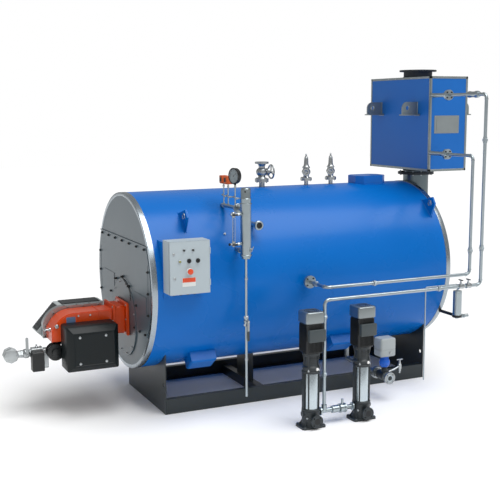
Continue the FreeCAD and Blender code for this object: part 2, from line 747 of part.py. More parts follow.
def pressure_gauge():
    """The dial gauge, turned to face the burner end."""
    facing = Vector(-math.cos(math.radians(15)), -math.sin(math.radians(15)), 0)
    centre = Vector(COLUMN_X, STALK_Y[2], 2376)
    case = Part.makeCylinder(80, 46, centre - facing * 23, facing)
    return join(case, rod((COLUMN_X, STALK_Y[2], 2285), Z, 12, 40)).cut(rod((COLUMN_X, STALK_Y[2], 2200), Z, 8, 96))


def pressure_switch(y):
    """One pressure switch on its siphon."""
    return box((COLUMN_X - 36, COLUMN_X + 36), (y - 34, y + 34), (2285, 2366))


keep("water_column", water_column())
keep("gauge_glass", gauge_glass())
keep("drain_pipe", drain_pipe())
keep("drain_lever", drain_lever())
keep("instrument_manifold", instrument_manifold())
keep("pressure_gauge", pressure_gauge())
keep("pressure_switches", *[pressure_switch(y) for y in STALK_Y[:2]])
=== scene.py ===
import bmesh
import bpy
import math
from mathutils import Euler, Matrix, Vector


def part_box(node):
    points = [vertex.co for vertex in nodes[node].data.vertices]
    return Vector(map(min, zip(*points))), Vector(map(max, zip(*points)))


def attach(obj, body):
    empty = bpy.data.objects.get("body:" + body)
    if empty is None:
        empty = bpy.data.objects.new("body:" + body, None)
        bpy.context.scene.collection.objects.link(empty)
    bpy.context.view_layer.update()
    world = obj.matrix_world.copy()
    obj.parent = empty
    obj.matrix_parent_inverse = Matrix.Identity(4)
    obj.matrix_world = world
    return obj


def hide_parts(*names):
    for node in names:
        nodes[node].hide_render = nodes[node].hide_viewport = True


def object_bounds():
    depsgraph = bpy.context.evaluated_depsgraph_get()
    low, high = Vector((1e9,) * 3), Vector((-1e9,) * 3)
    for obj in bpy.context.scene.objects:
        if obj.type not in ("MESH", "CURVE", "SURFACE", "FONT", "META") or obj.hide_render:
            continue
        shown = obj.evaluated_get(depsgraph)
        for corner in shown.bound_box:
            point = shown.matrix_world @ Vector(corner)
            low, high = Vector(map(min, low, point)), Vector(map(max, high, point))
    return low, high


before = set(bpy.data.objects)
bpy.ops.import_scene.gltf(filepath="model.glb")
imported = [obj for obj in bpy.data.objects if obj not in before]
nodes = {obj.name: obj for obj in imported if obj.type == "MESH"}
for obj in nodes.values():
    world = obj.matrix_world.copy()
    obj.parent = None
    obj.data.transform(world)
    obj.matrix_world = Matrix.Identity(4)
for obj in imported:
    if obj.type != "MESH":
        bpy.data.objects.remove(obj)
cad_low, cad_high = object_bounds()
X, Y, Z = Vector((1, 0, 0)), Vector((0, 1, 0)), Vector((0, 0, 1))

# ---------------------------------------------------------------- camera
# A long lens on the operator's side, standing off the burner end and a little above the drum, so
# that the front cover, the near side and the economiser all show.
EYE = Vector((-3.030, -9.117, 3.024))
YAW, PITCH, ROLL = 0.435, 0.150, -0.004
camera = bpy.data.objects.new("camera", bpy.data.cameras.new("camera"))
camera.data.sensor_width = 36
camera.data.lens = 67.42
aim = Euler((math.pi / 2 - PITCH, 0, -YAW)).to_matrix() @ Matrix.Rotation(ROLL, 3, "Z")
camera.matrix_world = Matrix.Translation(EYE) @ aim.to_4x4()
bpy.context.scene.collection.objects.link(camera)
bpy.context.scene.camera = camera

# ---------------------------------------------------------------- floor and studio light
# A matt white studio floor in a plain white room, under one very large soft light from above the
# operator's side and the flue end, so that the burner end and the drum's belly fall into soft shade.


def linear(hex_colour):
    """A linear colour with alpha from an sRGB hex value."""
    parts = [int(hex_colour[i:i + 2], 16) / 255 for i in (1, 3, 5)]
    return [c / 12.92 if c <= 0.04045 else ((c + 0.055) / 1.055) ** 2.4 for c in parts] + [1.0]


def add(material, kind, inputs, **settings):
    """Adds one shader node; inputs gives each socket a value or another node's output."""
    made = material.node_tree.nodes.new("ShaderNode" + kind)
    for name, value in settings.items():
        setattr(made, name, value)
    for socket, value in inputs.items():
        if isinstance(value, bpy.types.NodeSocket):
            material.node_tree.links.new(value, made.inputs[socket])
        else:
            made.inputs[socket].default_value = value
    return made


def blank(name):
    """An empty node material and its Principled shader."""
    material = bpy.data.materials.new(name)
    material.use_nodes = True
    return material, material.node_tree.nodes["Principled BSDF"]


def painted(name, colour, roughness, peel_mm=6.0, peel=0.04, coat=0.0, drift=0.10, specular=0.5):
    """Paint on metal or a moulding: an even colour that drifts a little, under a fine orange peel."""
    material, shader = blank(name)
    place = add(material, "TexCoord", {}).outputs["Object"]
    cloud = add(material, "TexNoise", {"Vector": place, "Scale": 1.7, "Detail": 4.0})
    shade = [c * (1 - drift) for c in linear(colour)[:3]] + [1]
    light = [min(1, c * (1 + drift)) for c in linear(colour)[:3]] + [1]
    tone = add(material, "Mix", {"Factor": cloud.outputs["Fac"], "A": shade, "B": light}, data_type="RGBA")
    skin = add(material, "TexNoise", {"Vector": place, "Scale": 1000 / peel_mm, "Detail": 2.0})
    bump = add(material, "Bump", {"Height": skin.outputs["Fac"], "Strength": peel, "Distance": 0.002})
    dull = add(material, "MapRange", {"Value": cloud.outputs["Fac"], "To Min": roughness * 0.85,
                                      "To Max": roughness * 1.2})
    links = material.node_tree.links
    links.new(tone.outputs["Result"], shader.inputs["Base Color"])
    links.new(dull.outputs["Result"], shader.inputs["Roughness"])
    links.new(bump.outputs["Normal"], shader.inputs["Normal"])
    shader.inputs["Specular IOR Level"].default_value = specular
    shader.inputs["Coat Weight"].default_value = coat
    shader.inputs["Coat Roughness"].default_value = 0.06
    return material


floor_mesh = bpy.data.meshes.new("studio_floor")
floor_mesh.from_pydata([(-40, -40, 0), (40, -40, 0), (40, 40, 0), (-40, 40, 0)], [], [(0, 1, 2, 3)])
floor = bpy.data.objects.new("studio_floor", floor_mesh)
bpy.context.scene.collection.objects.link(floor)
floor_mesh.materials.append(painted("matt_white_floor", "#FFFFFF", 0.8, peel_mm=30, peel=0.0, drift=0.0))

ROOM_LIGHT, ROOM_SEEN = 0.38, 1.0
world = bpy.data.worlds.new("studio_room")
world.use_nodes = True
room = world.node_tree.nodes["Background"]
room.inputs["Color"].default_value = linear("#FFFFFF")
seen = add(world, "LightPath", {}).outputs["Is Camera Ray"]
brightness = add(world, "MapRange", {"Value": seen, "To Min": ROOM_LIGHT, "To Max": ROOM_SEEN})
world.node_tree.links.new(brightness.outputs["Result"], room.inputs["Strength"])
bpy.context.scene.world = world
bpy.context.scene.view_settings.view_transform = "Standard"


def lamp(name, kind, at, towards, strength, **settings):
    """Adds a studio light aimed at a point."""
    data = bpy.data.lights.new(name, kind)
    data.energy = strength
    for key, value in settings.items():
        setattr(data, key, value)
    light = bpy.data.objects.new(name, data)
    turn = (towards - at).to_track_quat("-Z", "Y").to_matrix().to_4x4()
    light.matrix_world = Matrix.Translation(at) @ turn
    bpy.context.scene.collection.objects.link(light)


middle = (cad_low + cad_high) / 2
lamp("ceiling_light", "SUN", middle + Vector((1.8, -2.6, 8.0)), middle, 2.5, angle=math.radians(50))
lamp("long_softbox", "AREA", Vector((0.6, -5.4, 5.6)), Vector((middle.x, -0.8, 1.9)), 40,
     shape="RECTANGLE", size=9.0, size_y=1.2)

# ---------------------------------------------------------------- skid
# Two rolled channels between cross plates that are cut to the drum and welded to it, all in one
# dark slate alkyd paint. A fillet weld runs down each corner where a rail meets an end plate.
skid_paint = painted("slate_alkyd_paint", "#1F282B", 0.38, peel_mm=5, peel=0.10, drift=0.16)


def dress(name, material):
    """Gives a CAD node its finish."""
    slots = nodes[name].data.materials
    for i in range(len(slots)):
        slots[i] = material


def piece(name, bm, material, body="boiler", sharp_deg=32):
    """A finished mesh piece that moves with a body; faces shade smooth up to an angle."""
    mesh = bpy.data.meshes.new(name)
    bmesh.ops.recalc_face_normals(bm, faces=bm.faces)
    bm.to_mesh(mesh)
    bm.free()
    mesh.materials.append(material)
    mesh.shade_smooth()
    mesh.set_sharp_from_angle(angle=math.radians(sharp_deg))
    made = bpy.data.objects.new(name, mesh)
    bpy.context.scene.collection.objects.link(made)
    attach(made, body)
    return made


def turned(bm, at, along, profile, segments=40):
    """Adds a shape turned about an axis, from pairs of distance along it and radius."""
    spin = Vector(along).to_track_quat("Z", "Y").to_matrix()
    rings = []
    for height, radius in profile:
        count = segments if radius > 0 else 1
        angles = [2 * math.pi * i / segments for i in range(count)]
        points = [Vector((radius * math.cos(a), radius * math.sin(a), height)) for a in angles]
        rings.append([bm.verts.new(Vector(at) + spin @ point) for point in points])
    for low, high in zip(rings, rings[1:]):
        for i in range(segments):
            j = (i + 1) % segments
            corners = [low[i % len(low)], low[j % len(low)], high[j % len(high)], high[i % len(high)]]
            corners = list(dict.fromkeys(corners))
            if len(corners) > 2:
                bm.faces.new(corners)


def nut(bm, at, along, size):
    """Adds a hexagon nut of a given thread size on its washer, with the stud's end showing."""
    at, along = Vector(at), Vector(along).normalized()
    turned(bm, at, along, [(0, 0), (0, size), (size * 0.18, size), (size * 0.18, 0)], 16)
    turned(bm, at + along * size * 0.18, along, [(0, size * 0.9), (size * 0.7, size * 0.9),
                                                 (size * 0.8, size * 0.76), (size * 0.8, 0)], 6)
    turned(bm, at + along * size * 0.9, along,
           [(0, size * 0.5), (size * 0.35, size * 0.5), (size * 0.45, size * 0.4), (size * 0.45, 0)], 12)


def slab(bm, low, high, edge=0.003, segments=2):
    """Adds a block with softened edges."""
    made = bmesh.ops.create_cube(bm, size=1)["verts"]
    low, high = Vector(low), Vector(high)
    for v in made:
        v.co = Vector([(low[i] + high[i]) / 2 + v.co[i] * (high[i] - low[i]) for i in range(3)])
    edges = list({e for v in made for e in v.link_edges})
    bmesh.ops.bevel(bm, geom=edges, offset=edge, segments=segments, affect="EDGES", clamp_overlap=True)


for name in ("skid_rails", "end_saddles", "middle_saddle"):
    dress(name, skid_paint)
rail_low, rail_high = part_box("skid_rails")
bm = bmesh.new()
for x in (rail_low.x, rail_high.x):
    for y in (rail_low.y + 0.001, rail_high.y - 0.001):
        turned(bm, (x, y, 0.004), Z,
               [(0, 0), (0, 0.005), (rail_high.z - 0.008, 0.005), (rail_high.z - 0.008, 0)], 8)
piece("rail_welds", bm, skid_paint)

# ---------------------------------------------------------------- drum jacket
# Coil-coated steel sheet in a deep glossy blue, rolled round the insulation. It lies so tight that
# only a slow waviness shows in its reflections; its lap seam, with pop rivets, is under the far side.
drum_low, drum_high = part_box("drum_jacket")
DRUM_R = (drum_high.z - drum_low.z) / 2
DRUM_Z = (drum_high.z + drum_low.z) / 2
jacket_blue = painted("coil_coated_blue", "#0068BE", 0.27, peel_mm=160, peel=0.10, drift=0.05,
                      specular=0.22)
bm = bmesh.new()
turned(bm, (drum_low.x, 0, DRUM_Z), X, [(0, DRUM_R - 0.02), (0, DRUM_R), (0.6, DRUM_R), (1.7, DRUM_R),
       (2.8, DRUM_R), (drum_high.x - drum_low.x, DRUM_R), (drum_high.x - drum_low.x, DRUM_R - 0.02)], 256)
jacket = piece("drum_cladding", bm, jacket_blue)
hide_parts("drum_jacket")


def on_drum(x, degrees, out=0.0):
    """A point on the drum; degrees run from the top towards the far side."""
    a = math.radians(degrees)
    return Vector((x, (DRUM_R + out) * math.sin(a), DRUM_Z + (DRUM_R + out) * math.cos(a)))


def away(degrees):
    """The direction straight out of the drum at an angle from its top."""
    a = math.radians(degrees)
    return Vector((0, math.sin(a), math.cos(a)))


SEAM_DEG = 130
SEAM_SECTION = ((-1.6, 0), (-1.5, 0.0012), (1.5, 0.0012), (1.6, 0))
bm = bmesh.new()
near, far = [[bm.verts.new(on_drum(x, SEAM_DEG + turn, out)) for turn, out in SEAM_SECTION]
             for x in (drum_low.x, drum_high.x)]
for i in range(3):
    bm.faces.new((near[i], near[i + 1], far[i + 1], far[i]))
piece("jacket_seam", bm, jacket_blue)
bm = bmesh.new()
RIVET_PITCH = 0.15
for i in range(int((drum_high.x - drum_low.x) / RIVET_PITCH)):
    at = on_drum(drum_low.x + 0.08 + i * RIVET_PITCH, SEAM_DEG, 0.001)
    turned(bm, at, away(SEAM_DEG), [(0, 0.0045), (0.001, 0.0045), (0.002, 0.003), (0.0024, 0)], 10)
piece("jacket_rivets", bm, jacket_blue)

# ---------------------------------------------------------------- end covers
# Dished flat sheets in grey stove enamel, semi-gloss, that close the jacket's two ends. A rolled strap
# of bright aluminium is drawn round each rim over the edge of the blue sheet.
cover_grey = painted("grey_stove_enamel", "#4C5C65", 0.30, peel_mm=90, peel=0.16, drift=0.08, specular=0.3)


def bare(name, colour, roughness, grain_mm, stretch=(1, 1, 1), relief=0.08):
    """Bare metal whose gloss and fine relief follow its grain, drawn out along its rolled direction."""
    material, shader = blank(name)
    place = add(material, "TexCoord", {}).outputs["Object"]
    along = add(material, "Mapping", {"Vector": place, "Scale": stretch}).outputs["Vector"]
    grain = add(material, "TexNoise",
                {"Vector": along, "Scale": 1000 / grain_mm, "Detail": 3.0}).outputs["Fac"]
    cloud = add(material, "TexNoise", {"Vector": place, "Scale": 9.0, "Detail": 3.0}).outputs["Fac"]
    dark = [c * 0.84 for c in linear(colour)[:3]] + [1]
    tone = add(material, "Mix", {"Factor": cloud, "A": dark, "B": linear(colour)}, data_type="RGBA")
    gloss = add(material, "MapRange",
                {"Value": grain, "To Min": roughness * 0.7, "To Max": roughness * 1.35})
    bump = add(material, "Bump", {"Height": grain, "Strength": relief, "Distance": 0.001})
    links = material.node_tree.links
    links.new(tone.outputs["Result"], shader.inputs["Base Color"])
    links.new(gloss.outputs["Result"], shader.inputs["Roughness"])
    links.new(bump.outputs["Normal"], shader.inputs["Normal"])
    shader.inputs["Metallic"].default_value = 1.0
    return material


rolled_aluminium = bare("rolled_aluminium", "#A8B2B9", 0.26, 6, stretch=(1, 0.1, 0.1))
STRAP = 0.0025
for name, outer_x, inward in (("front_end_cover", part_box("front_end_cover")[0].x, 1),
                              ("rear_end_cover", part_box("rear_end_cover")[1].x, -1)):
    dress(name, cover_grey)
    bm = bmesh.new()
    turned(bm, (outer_x, 0, DRUM_Z), X * inward,
           [(-STRAP, DRUM_R - 0.034), (-STRAP, DRUM_R - 0.004), (-0.001, DRUM_R + STRAP * 0.6),
            (0.002, DRUM_R + STRAP), (0.052, DRUM_R + STRAP), (0.053, DRUM_R), (0.02, DRUM_R - 0.002),
            (0.001, DRUM_R - 0.036), (-STRAP, DRUM_R - 0.034)], 192)
    piece(name + "_strap", bm, rolled_aluminium)

# ---------------------------------------------------------------- smokebox door
# A steel plate in the same enamel, held by black-oxide nuts: seven along its top edge, three down each
# side and more round the burner. Two shallow hoods and a lap strip are folded from the same sheet.
door_low, door_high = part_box("smokebox_door")
dress("smokebox_door", cover_grey)
# Black-oxide steel is near black and almost matt, with a faint bloom. The same black is painted shade on
# the disc that fills the level nozzle's bore.
black_oxide_and_bore_shade = painted("black_oxide_steel_and_painted_bore_shade", "#101213", 0.42, peel_mm=3, peel=0.15, drift=0.2)
TOP_ROW_Z, TOP_ROW_PITCH = door_high.z - 0.035, 0.235
bm = bmesh.new()
slab(bm, (door_low.x - 0.003, -0.79, door_high.z - 0.012), (door_low.x, 0.79, door_high.z - 0.001), 0.001)
for y in (-0.79, 0.784):
    slab(bm, (door_low.x - 0.002, y, 1.04), (door_low.x, y + 0.006, 1.56), 0.0008)
for low_y, high_y, z in ((-0.74, -0.37, 1.235), (0.30, 0.66, 1.315)):
    slab(bm, (door_low.x - 0.004, low_y, z), (door_low.x, high_y, z + 0.005), 0.001)
    slab(bm, (door_low.x - 0.004, low_y, z - 0.18), (door_low.x, low_y + 0.005, z), 0.001)
piece("smokebox_door_laps", bm, cover_grey)
bm = bmesh.new()
door_bolts = [((i - 3) * TOP_ROW_PITCH, TOP_ROW_Z) for i in range(7)]
for side in (-1, 1):
    door_bolts += [(side * 0.80, z) for z in (1.495, 1.285, 1.075)]
    door_bolts += [(side * y, 0.865) for y in (0.527, 0.694)]
    door_bolts += [(side * 0.36, 0.868), (side * 0.43, 1.105)]
for y, z in door_bolts:
    nut(bm, (door_low.x, y, z), -X, 0.014)
piece("smokebox_door_nuts", bm, black_oxide_and_bore_shade)


def bent(points, bend, steps=8):
    """A path along straight runs with its corners rounded."""
    points = [Vector(p) for p in points]
    path = [points[0]]
    for before, corner, after in zip(points, points[1:], points[2:]):
        into, out = (corner - before).normalized(), (after - corner).normalized()
        trim = bend * math.tan(into.angle(out) / 2)
        start, end = corner - into * trim, corner + out * trim
        for i in range(steps + 1):
            t = i / steps
            path.append(start * (1 - t) ** 2 + corner * 2 * t * (1 - t) + end * t * t)
    return path + [points[-1]]


def swept(bm, path, radius, segments=12):
    """Adds a round bar along a path of close points."""
    side, rings = None, []
    for i, at in enumerate(path):
        ahead = (path[min(i + 1, len(path) - 1)] - path[max(i - 1, 0)]).normalized()
        side = ahead.orthogonal() if side is None else side
        side = (side - ahead * side.dot(ahead)).normalized()
        other = ahead.cross(side)
        angles = [2 * math.pi * k / segments for k in range(segments)]
        rings.append([bm.verts.new(at + radius * (side * math.cos(a) + other * math.sin(a)))
                      for a in angles])
    for low, high in zip(rings, rings[1:]):
        for k in range(segments):
            bm.faces.new((low[k], low[(k + 1) % segments], high[(k + 1) % segments], high[k]))
    bm.faces.new(rings[0])
    bm.faces.new(rings[-1])


SENSING = door_low.x - 0.016
bm = bmesh.new()
swept(bm, bent([(door_low.x, -0.007, 1.329), (SENSING, -0.007, 1.329), (SENSING, -0.215, 1.262),
                (SENSING, -0.279, 1.207), (SENSING, -0.285, 1.13)], 0.012), 0.005, 10)
for y, z in ((-0.007, 1.329), (-0.215, 1.262), (0.22, 1.275)):
    turned(bm, (door_low.x, y, z), -X,
           [(0, 0.013), (0.012, 0.013), (0.012, 0.010), (0.030, 0.010), (0.033, 0)], 12)
piece("draught_sensing_tube", bm, black_oxide_and_bore_shade)

# ---------------------------------------------------------------- lugs and inspection covers
# Blue-painted steel: four lifting eyes welded to the shoulders, four insulated boxes over the handholes
# and an eight-sided one over the manhole. Each box is folded sheet with a screwed flange at its foot.
for name in ("lifting_lugs", "handhole_covers", "manhole_cover", "panel_bracket"):
    dress(name, jacket_blue)
HANDHOLE_X, HANDHOLE_DEG = (0.390, 2.003), 144
DOME_HEAD = [(0, 0.006), (0.003, 0.0055), (0.0045, 0)]
LUG_X, LUG_DEG = (0.188, 3.063), (36, 52.5)
bm, bosses = bmesh.new(), bmesh.new()
for side in (-1, 1):
    for x in LUG_X:
        for edge in (-0.010, 0.010):
            weld = [on_drum(x + edge, side * (LUG_DEG[0] + (LUG_DEG[1] - LUG_DEG[0]) * i / 8), 0.001)
                    for i in range(9)]
            swept(bm, weld, 0.005, 8)
        eye_deg = side * 44.5
        eye = Vector((x, 0, DRUM_Z)) + away(eye_deg) * 0.990
        for face in (-1, 1):
            turned(bosses, eye + X * face * 0.010, X * face, [(0, 0.023), (0.004, 0.024), (0.006, 0.029),
                                                              (0.004, 0.034), (0, 0.035)], 32)
piece("lug_welds", bm, jacket_blue)
# Zinc plate: pale, finely grained, with a soft highlight on each nut and screw.
zinc = bare("zinc_plated_steel", "#B9BEC0", 0.30, 3)
piece("lug_bosses", bosses, zinc)
bm = bmesh.new()
for side in (-1, 1):
    for x in HANDHOLE_X:
        for end in (-1, 1):
            for turn in (-4.2, 4.2):
                at = on_drum(x + end * 0.110, side * (HANDHOLE_DEG + turn), 0.105)
                turned(bm, at, away(side * HANDHOLE_DEG), DOME_HEAD, 12)
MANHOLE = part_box("manhole_cover")
manhole_x = (MANHOLE[0].x + MANHOLE[1].x) / 2
for i in range(8):
    a = math.radians(22.5 + 45 * i)
    at = (manhole_x + 0.150 * math.cos(a), 0.118 * math.sin(a), MANHOLE[1].z)
    turned(bm, at, Z, DOME_HEAD, 12)
piece("cover_screws", bm, zinc)

# ---------------------------------------------------------------- steam stop valve
# A flanged globe valve of cast steel in silver-grey heat paint, with its bonnet along the drum. The
# handwheel is the same grey; plated studs and nuts close the flange pair and the bonnet.
cast_silver = bare("heat_resisting_silver_paint", "#A9AEAF", 0.36, 5, relief=0.25)
dress("steam_valve", cast_silver)
dress("steam_handwheel", cast_silver)


def bolt_circle(bm, at, along, radius, count, size, first_deg=45.0):
    """Adds nuts evenly round a flange."""
    along = Vector(along)
    across = Z if abs(along.z) < 0.5 else X
    up = along.cross(across)
    for i in range(count):
        a = math.radians(first_deg + 360 * i / count)
        nut(bm, Vector(at) + radius * (across * math.cos(a) + up * math.sin(a)), along, size)


wheel_low, wheel_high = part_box("steam_handwheel")
STEAM_FLANGE_R = 0.075
STEAM_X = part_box("steam_valve")[0].x + STEAM_FLANGE_R
LOWER_PAIR_Z, TOP_FLANGE_Z = (2.240, 2.276), 2.436
WHEEL_X, WHEEL_Z = (wheel_low.x + wheel_high.x) / 2, (wheel_low.z + wheel_high.z) / 2
bm = bmesh.new()
bolt_circle(bm, (STEAM_X, 0, LOWER_PAIR_Z[1]), Z, 0.055, 4, 0.009)
bolt_circle(bm, (STEAM_X, 0, LOWER_PAIR_Z[0]), -Z, 0.055, 4, 0.009)
bolt_circle(bm, (STEAM_X + 0.072, 0, WHEEL_Z), X, 0.032, 4, 0.006)
piece("steam_valve_nuts", bm, zinc)
bm = bmesh.new()
turned(bm, (STEAM_X + 0.070, 0, WHEEL_Z), X,
       [(0, 0.022), (0.006, 0.022), (0.010, 0.016), (0.018, 0.014), (0.018, 0.009)], 24)
turned(bm, (STEAM_X, 0, WHEEL_Z), -X, [(0.03, 0.049), (0.050, 0.034), (0.060, 0.018), (0.062, 0)], 32)
for z, flare in ((LOWER_PAIR_Z[1], 1), (TOP_FLANGE_Z, -1)):
    turned(bm, (STEAM_X, 0, z), Z * flare,
           [(0, 0.052), (0.010, 0.042), (0.028, 0.0345), (0.028, 0.030)], 40)
piece("steam_valve_fillets", bm, cast_silver)
bm = bmesh.new()
turned(bm, (wheel_high.x - 0.004, 0, WHEEL_Z), X, [(0, 0.0095), (0.0035, 0.0095), (0.0035, 0)], 6)
turned(bm, (WHEEL_X - 0.013, 0, WHEEL_Z), -X, [(0, 0.013), (0.002, 0.013), (0.002, 0.009)], 24)
piece("handwheel_nut", bm, zinc, body="steam_handwheel")

# ---------------------------------------------------------------- safety valves
# Two spring-loaded angle valves, cast and turned steel in the same silver: a waisted body over a
# bolted flange pair, a side outlet, and a slim tapering bonnet with the test spindle on top.
SAFETY_X = (1.893, 2.202)
DRUM_TOP = DRUM_Z + DRUM_R
body_profile = [(-0.012, 0.024), (0.048, 0.024), (0.048, 0.064), (0.063, 0.064), (0.064, 0.062),
                (0.065, 0.064), (0.080, 0.064), (0.080, 0.040), (0.094, 0.031), (0.112, 0.034),
                (0.128, 0.046), (0.142, 0.050), (0.158, 0.046), (0.172, 0.036), (0.180, 0.034),
                (0.184, 0.043), (0.198, 0.043), (0.202, 0.036), (0.216, 0.028), (0.232, 0.0255),
                (0.272, 0.0235), (0.290, 0.0205), (0.298, 0.0215), (0.304, 0.017), (0.314, 0.011),
                (0.330, 0.0075), (0.336, 0.0095), (0.340, 0.0065), (0.344, 0)]
outlet = Vector((-0.5, -0.87, 0)).normalized()
# Machined steel castings shine a little more than the painted globe valve.
silver_valve = bare("turned_cast_steel", "#B4B8B9", 0.28, 4, relief=0.15)
bm = bmesh.new()
for x in SAFETY_X:
    turned(bm, (x, 0, DRUM_TOP), Z, body_profile, 40)
    turned(bm, Vector((x, 0, DRUM_TOP + 0.142)), outlet,
           [(0.02, 0.028), (0.042, 0.028), (0.045, 0.037), (0.062, 0.037), (0.062, 0.024), (0.05, 0.020),
            (0.04, 0)], 32)
safety_bodies = piece("safety_valve_bodies", bm, silver_valve)
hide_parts("safety_valves")
bm = bmesh.new()
for x in SAFETY_X:
    bolt_circle(bm, (x, 0, DRUM_TOP + 0.080), Z, 0.048, 4, 0.007)
    bolt_circle(bm, (x, 0, DRUM_TOP + 0.048), -Z, 0.048, 4, 0.007)
    slab(bm, (x - 0.005, -0.034, DRUM_TOP + 0.300), (x + 0.005, 0.012, DRUM_TOP + 0.306), 0.002)
piece("safety_valve_nuts", bm, zinc)

# ---------------------------------------------------------------- burner plate and air housing
# The plate is enamelled like the door, with a ring of plated bolts. The housing is cast aluminium in
# orange-red stove enamel: a square flange, a straight head with raised ribs, and the turned-down arm.
plate_low, plate_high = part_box("burner_plate")
BURNER_Z = (plate_low.z + plate_high.z) / 2
dress("burner_plate", cover_grey)
bm = bmesh.new()
for i in range(12):
    a = math.radians(15 + 30 * i)
    nut(bm, (plate_low.x, 0.37 * math.cos(a), BURNER_Z + 0.37 * math.sin(a)), -X, 0.009)
piece("burner_plate_bolts", bm, zinc)
# Stove enamel over a casting: a strong colour with broad soft highlights and a fine peel.
orange_enamel = painted("orange_stove_enamel", "#D24400", 0.30, peel_mm=5, peel=0.12, coat=0.1, drift=0.12)


def prism(bm, near, far):
    """Adds a block between two like outlines, given as points, and returns its faces, ends first."""
    near, far = [[bm.verts.new(p) for p in outline] for outline in (near, far)]
    faces = [bm.faces.new(near), bm.faces.new(far)]
    for i in range(len(near)):
        j = (i + 1) % len(near)
        faces.append(bm.faces.new((near[i], near[j], far[j], far[i])))
    return faces


def cut_out(bm, outline, y, edge):
    """Adds a block whose outline is given in X and Z, with softened rims at both faces."""
    faces = prism(bm, *[[(px, level, pz) for px, pz in outline] for level in y])
    rims = list({e for face in faces[:2] for e in face.edges})
    bmesh.ops.recalc_face_normals(bm, faces=faces)
    bmesh.ops.bevel(bm, geom=rims, offset=edge, segments=4, affect="EDGES", clamp_overlap=True)


def arc(centre, radius, first_deg, last_deg, steps=8):
    """Points along an arc in X and Z."""
    angles = [math.radians(first_deg + (last_deg - first_deg) * i / steps) for i in range(steps + 1)]
    return [(centre[0] + radius * math.cos(a), centre[1] + radius * math.sin(a)) for a in angles]


ARM_HALF = 0.130
arm_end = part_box("burner_housing")[0].x
outline = [(plate_low.x - 0.030, 0.785), (plate_low.x - 0.030, 1.025), (-0.720, 1.022)]
outline += arc((arm_end + 0.235, 0.785), 0.237, 80, 158, 12)
outline += [(arm_end, 0.862), (arm_end, 0.745), (-0.875, 0.745), (-0.875, 0.790)]
outline += arc((-0.805, 0.790), 0.070, 180, 90, 6) + [(-0.425, 0.860), (-0.380, 0.785)]
bm = bmesh.new()
cut_out(bm, outline, (-ARM_HALF, ARM_HALF), 0.030)
slab(bm, (plate_low.x - 0.030, -0.200, 0.749), (plate_low.x, 0.200, 1.087), 0.008, 3)
for x in (-0.310, -0.530):
    slab(bm, (x - 0.006, -ARM_HALF - 0.007, 0.872), (x + 0.006, ARM_HALF + 0.002, 1.030), 0.003)
slab(bm, (-0.372, -0.150, 0.772), (-0.264, 0.150, 1.052), 0.010, 3)
slab(bm, (-0.392, -0.172, 0.752), (-0.368, 0.172, 1.074), 0.006, 3)
slab(bm, (-0.985, -0.100, 0.742), (-0.885, 0.100, 0.775), 0.006)
housing = piece("burner_air_housing", bm, orange_enamel, sharp_deg=50)
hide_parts("burner_housing")
bm = bmesh.new()
for y in (-0.178, 0.178):
    for z in (0.772, 0.918, 1.064):
        nut(bm, (plate_low.x - 0.030, y, z), -X, 0.008)
for y in (-0.155, 0.155):
    for z in (0.772, 0.912, 1.054):
        nut(bm, (-0.392, y, z), -X, 0.0075)
for x in (-0.62, -0.74):
    turned(bm, (x, -ARM_HALF, 0.99), -Y, [(0, 0.010), (0.007, 0.010), (0.007, 0.004), (0.004, 0)], 6)
turned(bm, (arm_end + 0.004, -0.055, 0.862), -X,
       [(0, 0.020), (0.014, 0.020), (0.020, 0.011), (0.060, 0.009), (0.064, 0)], 20)
turned(bm, (arm_end - 0.052, -0.100, 0.862), Y,
       [(0, 0.006), (0.003, 0.009), (0.087, 0.009), (0.090, 0.006), (0.090, 0)], 14)
turned(bm, (arm_end + 0.050, -ARM_HALF, 0.905), -Y,
       [(0, 0.020), (0.012, 0.020), (0.016, 0.014), (0.03, 0.012), (0.03, 0)], 20)
piece("burner_bolts_and_test_plug", bm, zinc)
# A plain printed label, left bare: flat, smooth and slightly glossy.
blank_label = painted("plain_blue_label", "#5C7192", 0.35, peel_mm=8, peel=0.05)
bm = bmesh.new()
slab(bm, (-0.862, -ARM_HALF - 0.0015, 0.900), (-0.770, -ARM_HALF + 0.002, 0.985), 0.0008)
piece("burner_blank_plate", bm, blank_label)

# ---------------------------------------------------------------- fan casing and air intake
# The back half of the fan casing is a plain pressure die casting in bare aluminium. The intake is
# pale grey sheet lined with foam, with a black louvre on its sloping mouth and a black lid on top.
die_cast = bare("die_cast_aluminium", "#B7BCBD", 0.42, 2.5, relief=0.2)
intake_grey = painted("pale_grey_powder_coat", "#B3BABB", 0.45, peel_mm=3, peel=0.2)
louvre_black = painted("black_moulded_louvre", "#2A2F31", 0.5, peel_mm=2, peel=0.2)
dress("fan_housing", die_cast)
dress("air_intake", intake_grey)


def moulded(bm, at, along, across, size, profile, corner, steps=5):
    """Adds a rounded box up an axis; its profile is pairs of distance along and inset of the sides."""
    at, along, across = Vector(at), Vector(along), Vector(across)
    up = along.cross(across)
    rings = []
    for distance, inset in profile:
        turn = max(corner - inset, corner * 0.15)
        wide, high = size[0] / 2 - inset - turn, size[1] / 2 - inset - turn
        loop = []
        for quarter, (side_a, side_u) in enumerate(((1, 1), (-1, 1), (-1, -1), (1, -1))):
            for step in range(steps + 1):
                a = math.pi / 2 * (quarter + step / steps)
                sideways = across * (side_a * wide + turn * math.cos(a))
                upwards = up * (side_u * high + turn * math.sin(a))
                loop.append(bm.verts.new(at + along * distance + sideways + upwards))
        rings.append(loop)
    for low, high in zip(rings, rings[1:]):
        for i in range(len(low)):
            j = (i + 1) % len(low)
            bm.faces.new((low[i], low[j], high[j], high[i]))
    bm.faces.new(rings[0])
    bm.faces.new(rings[-1])


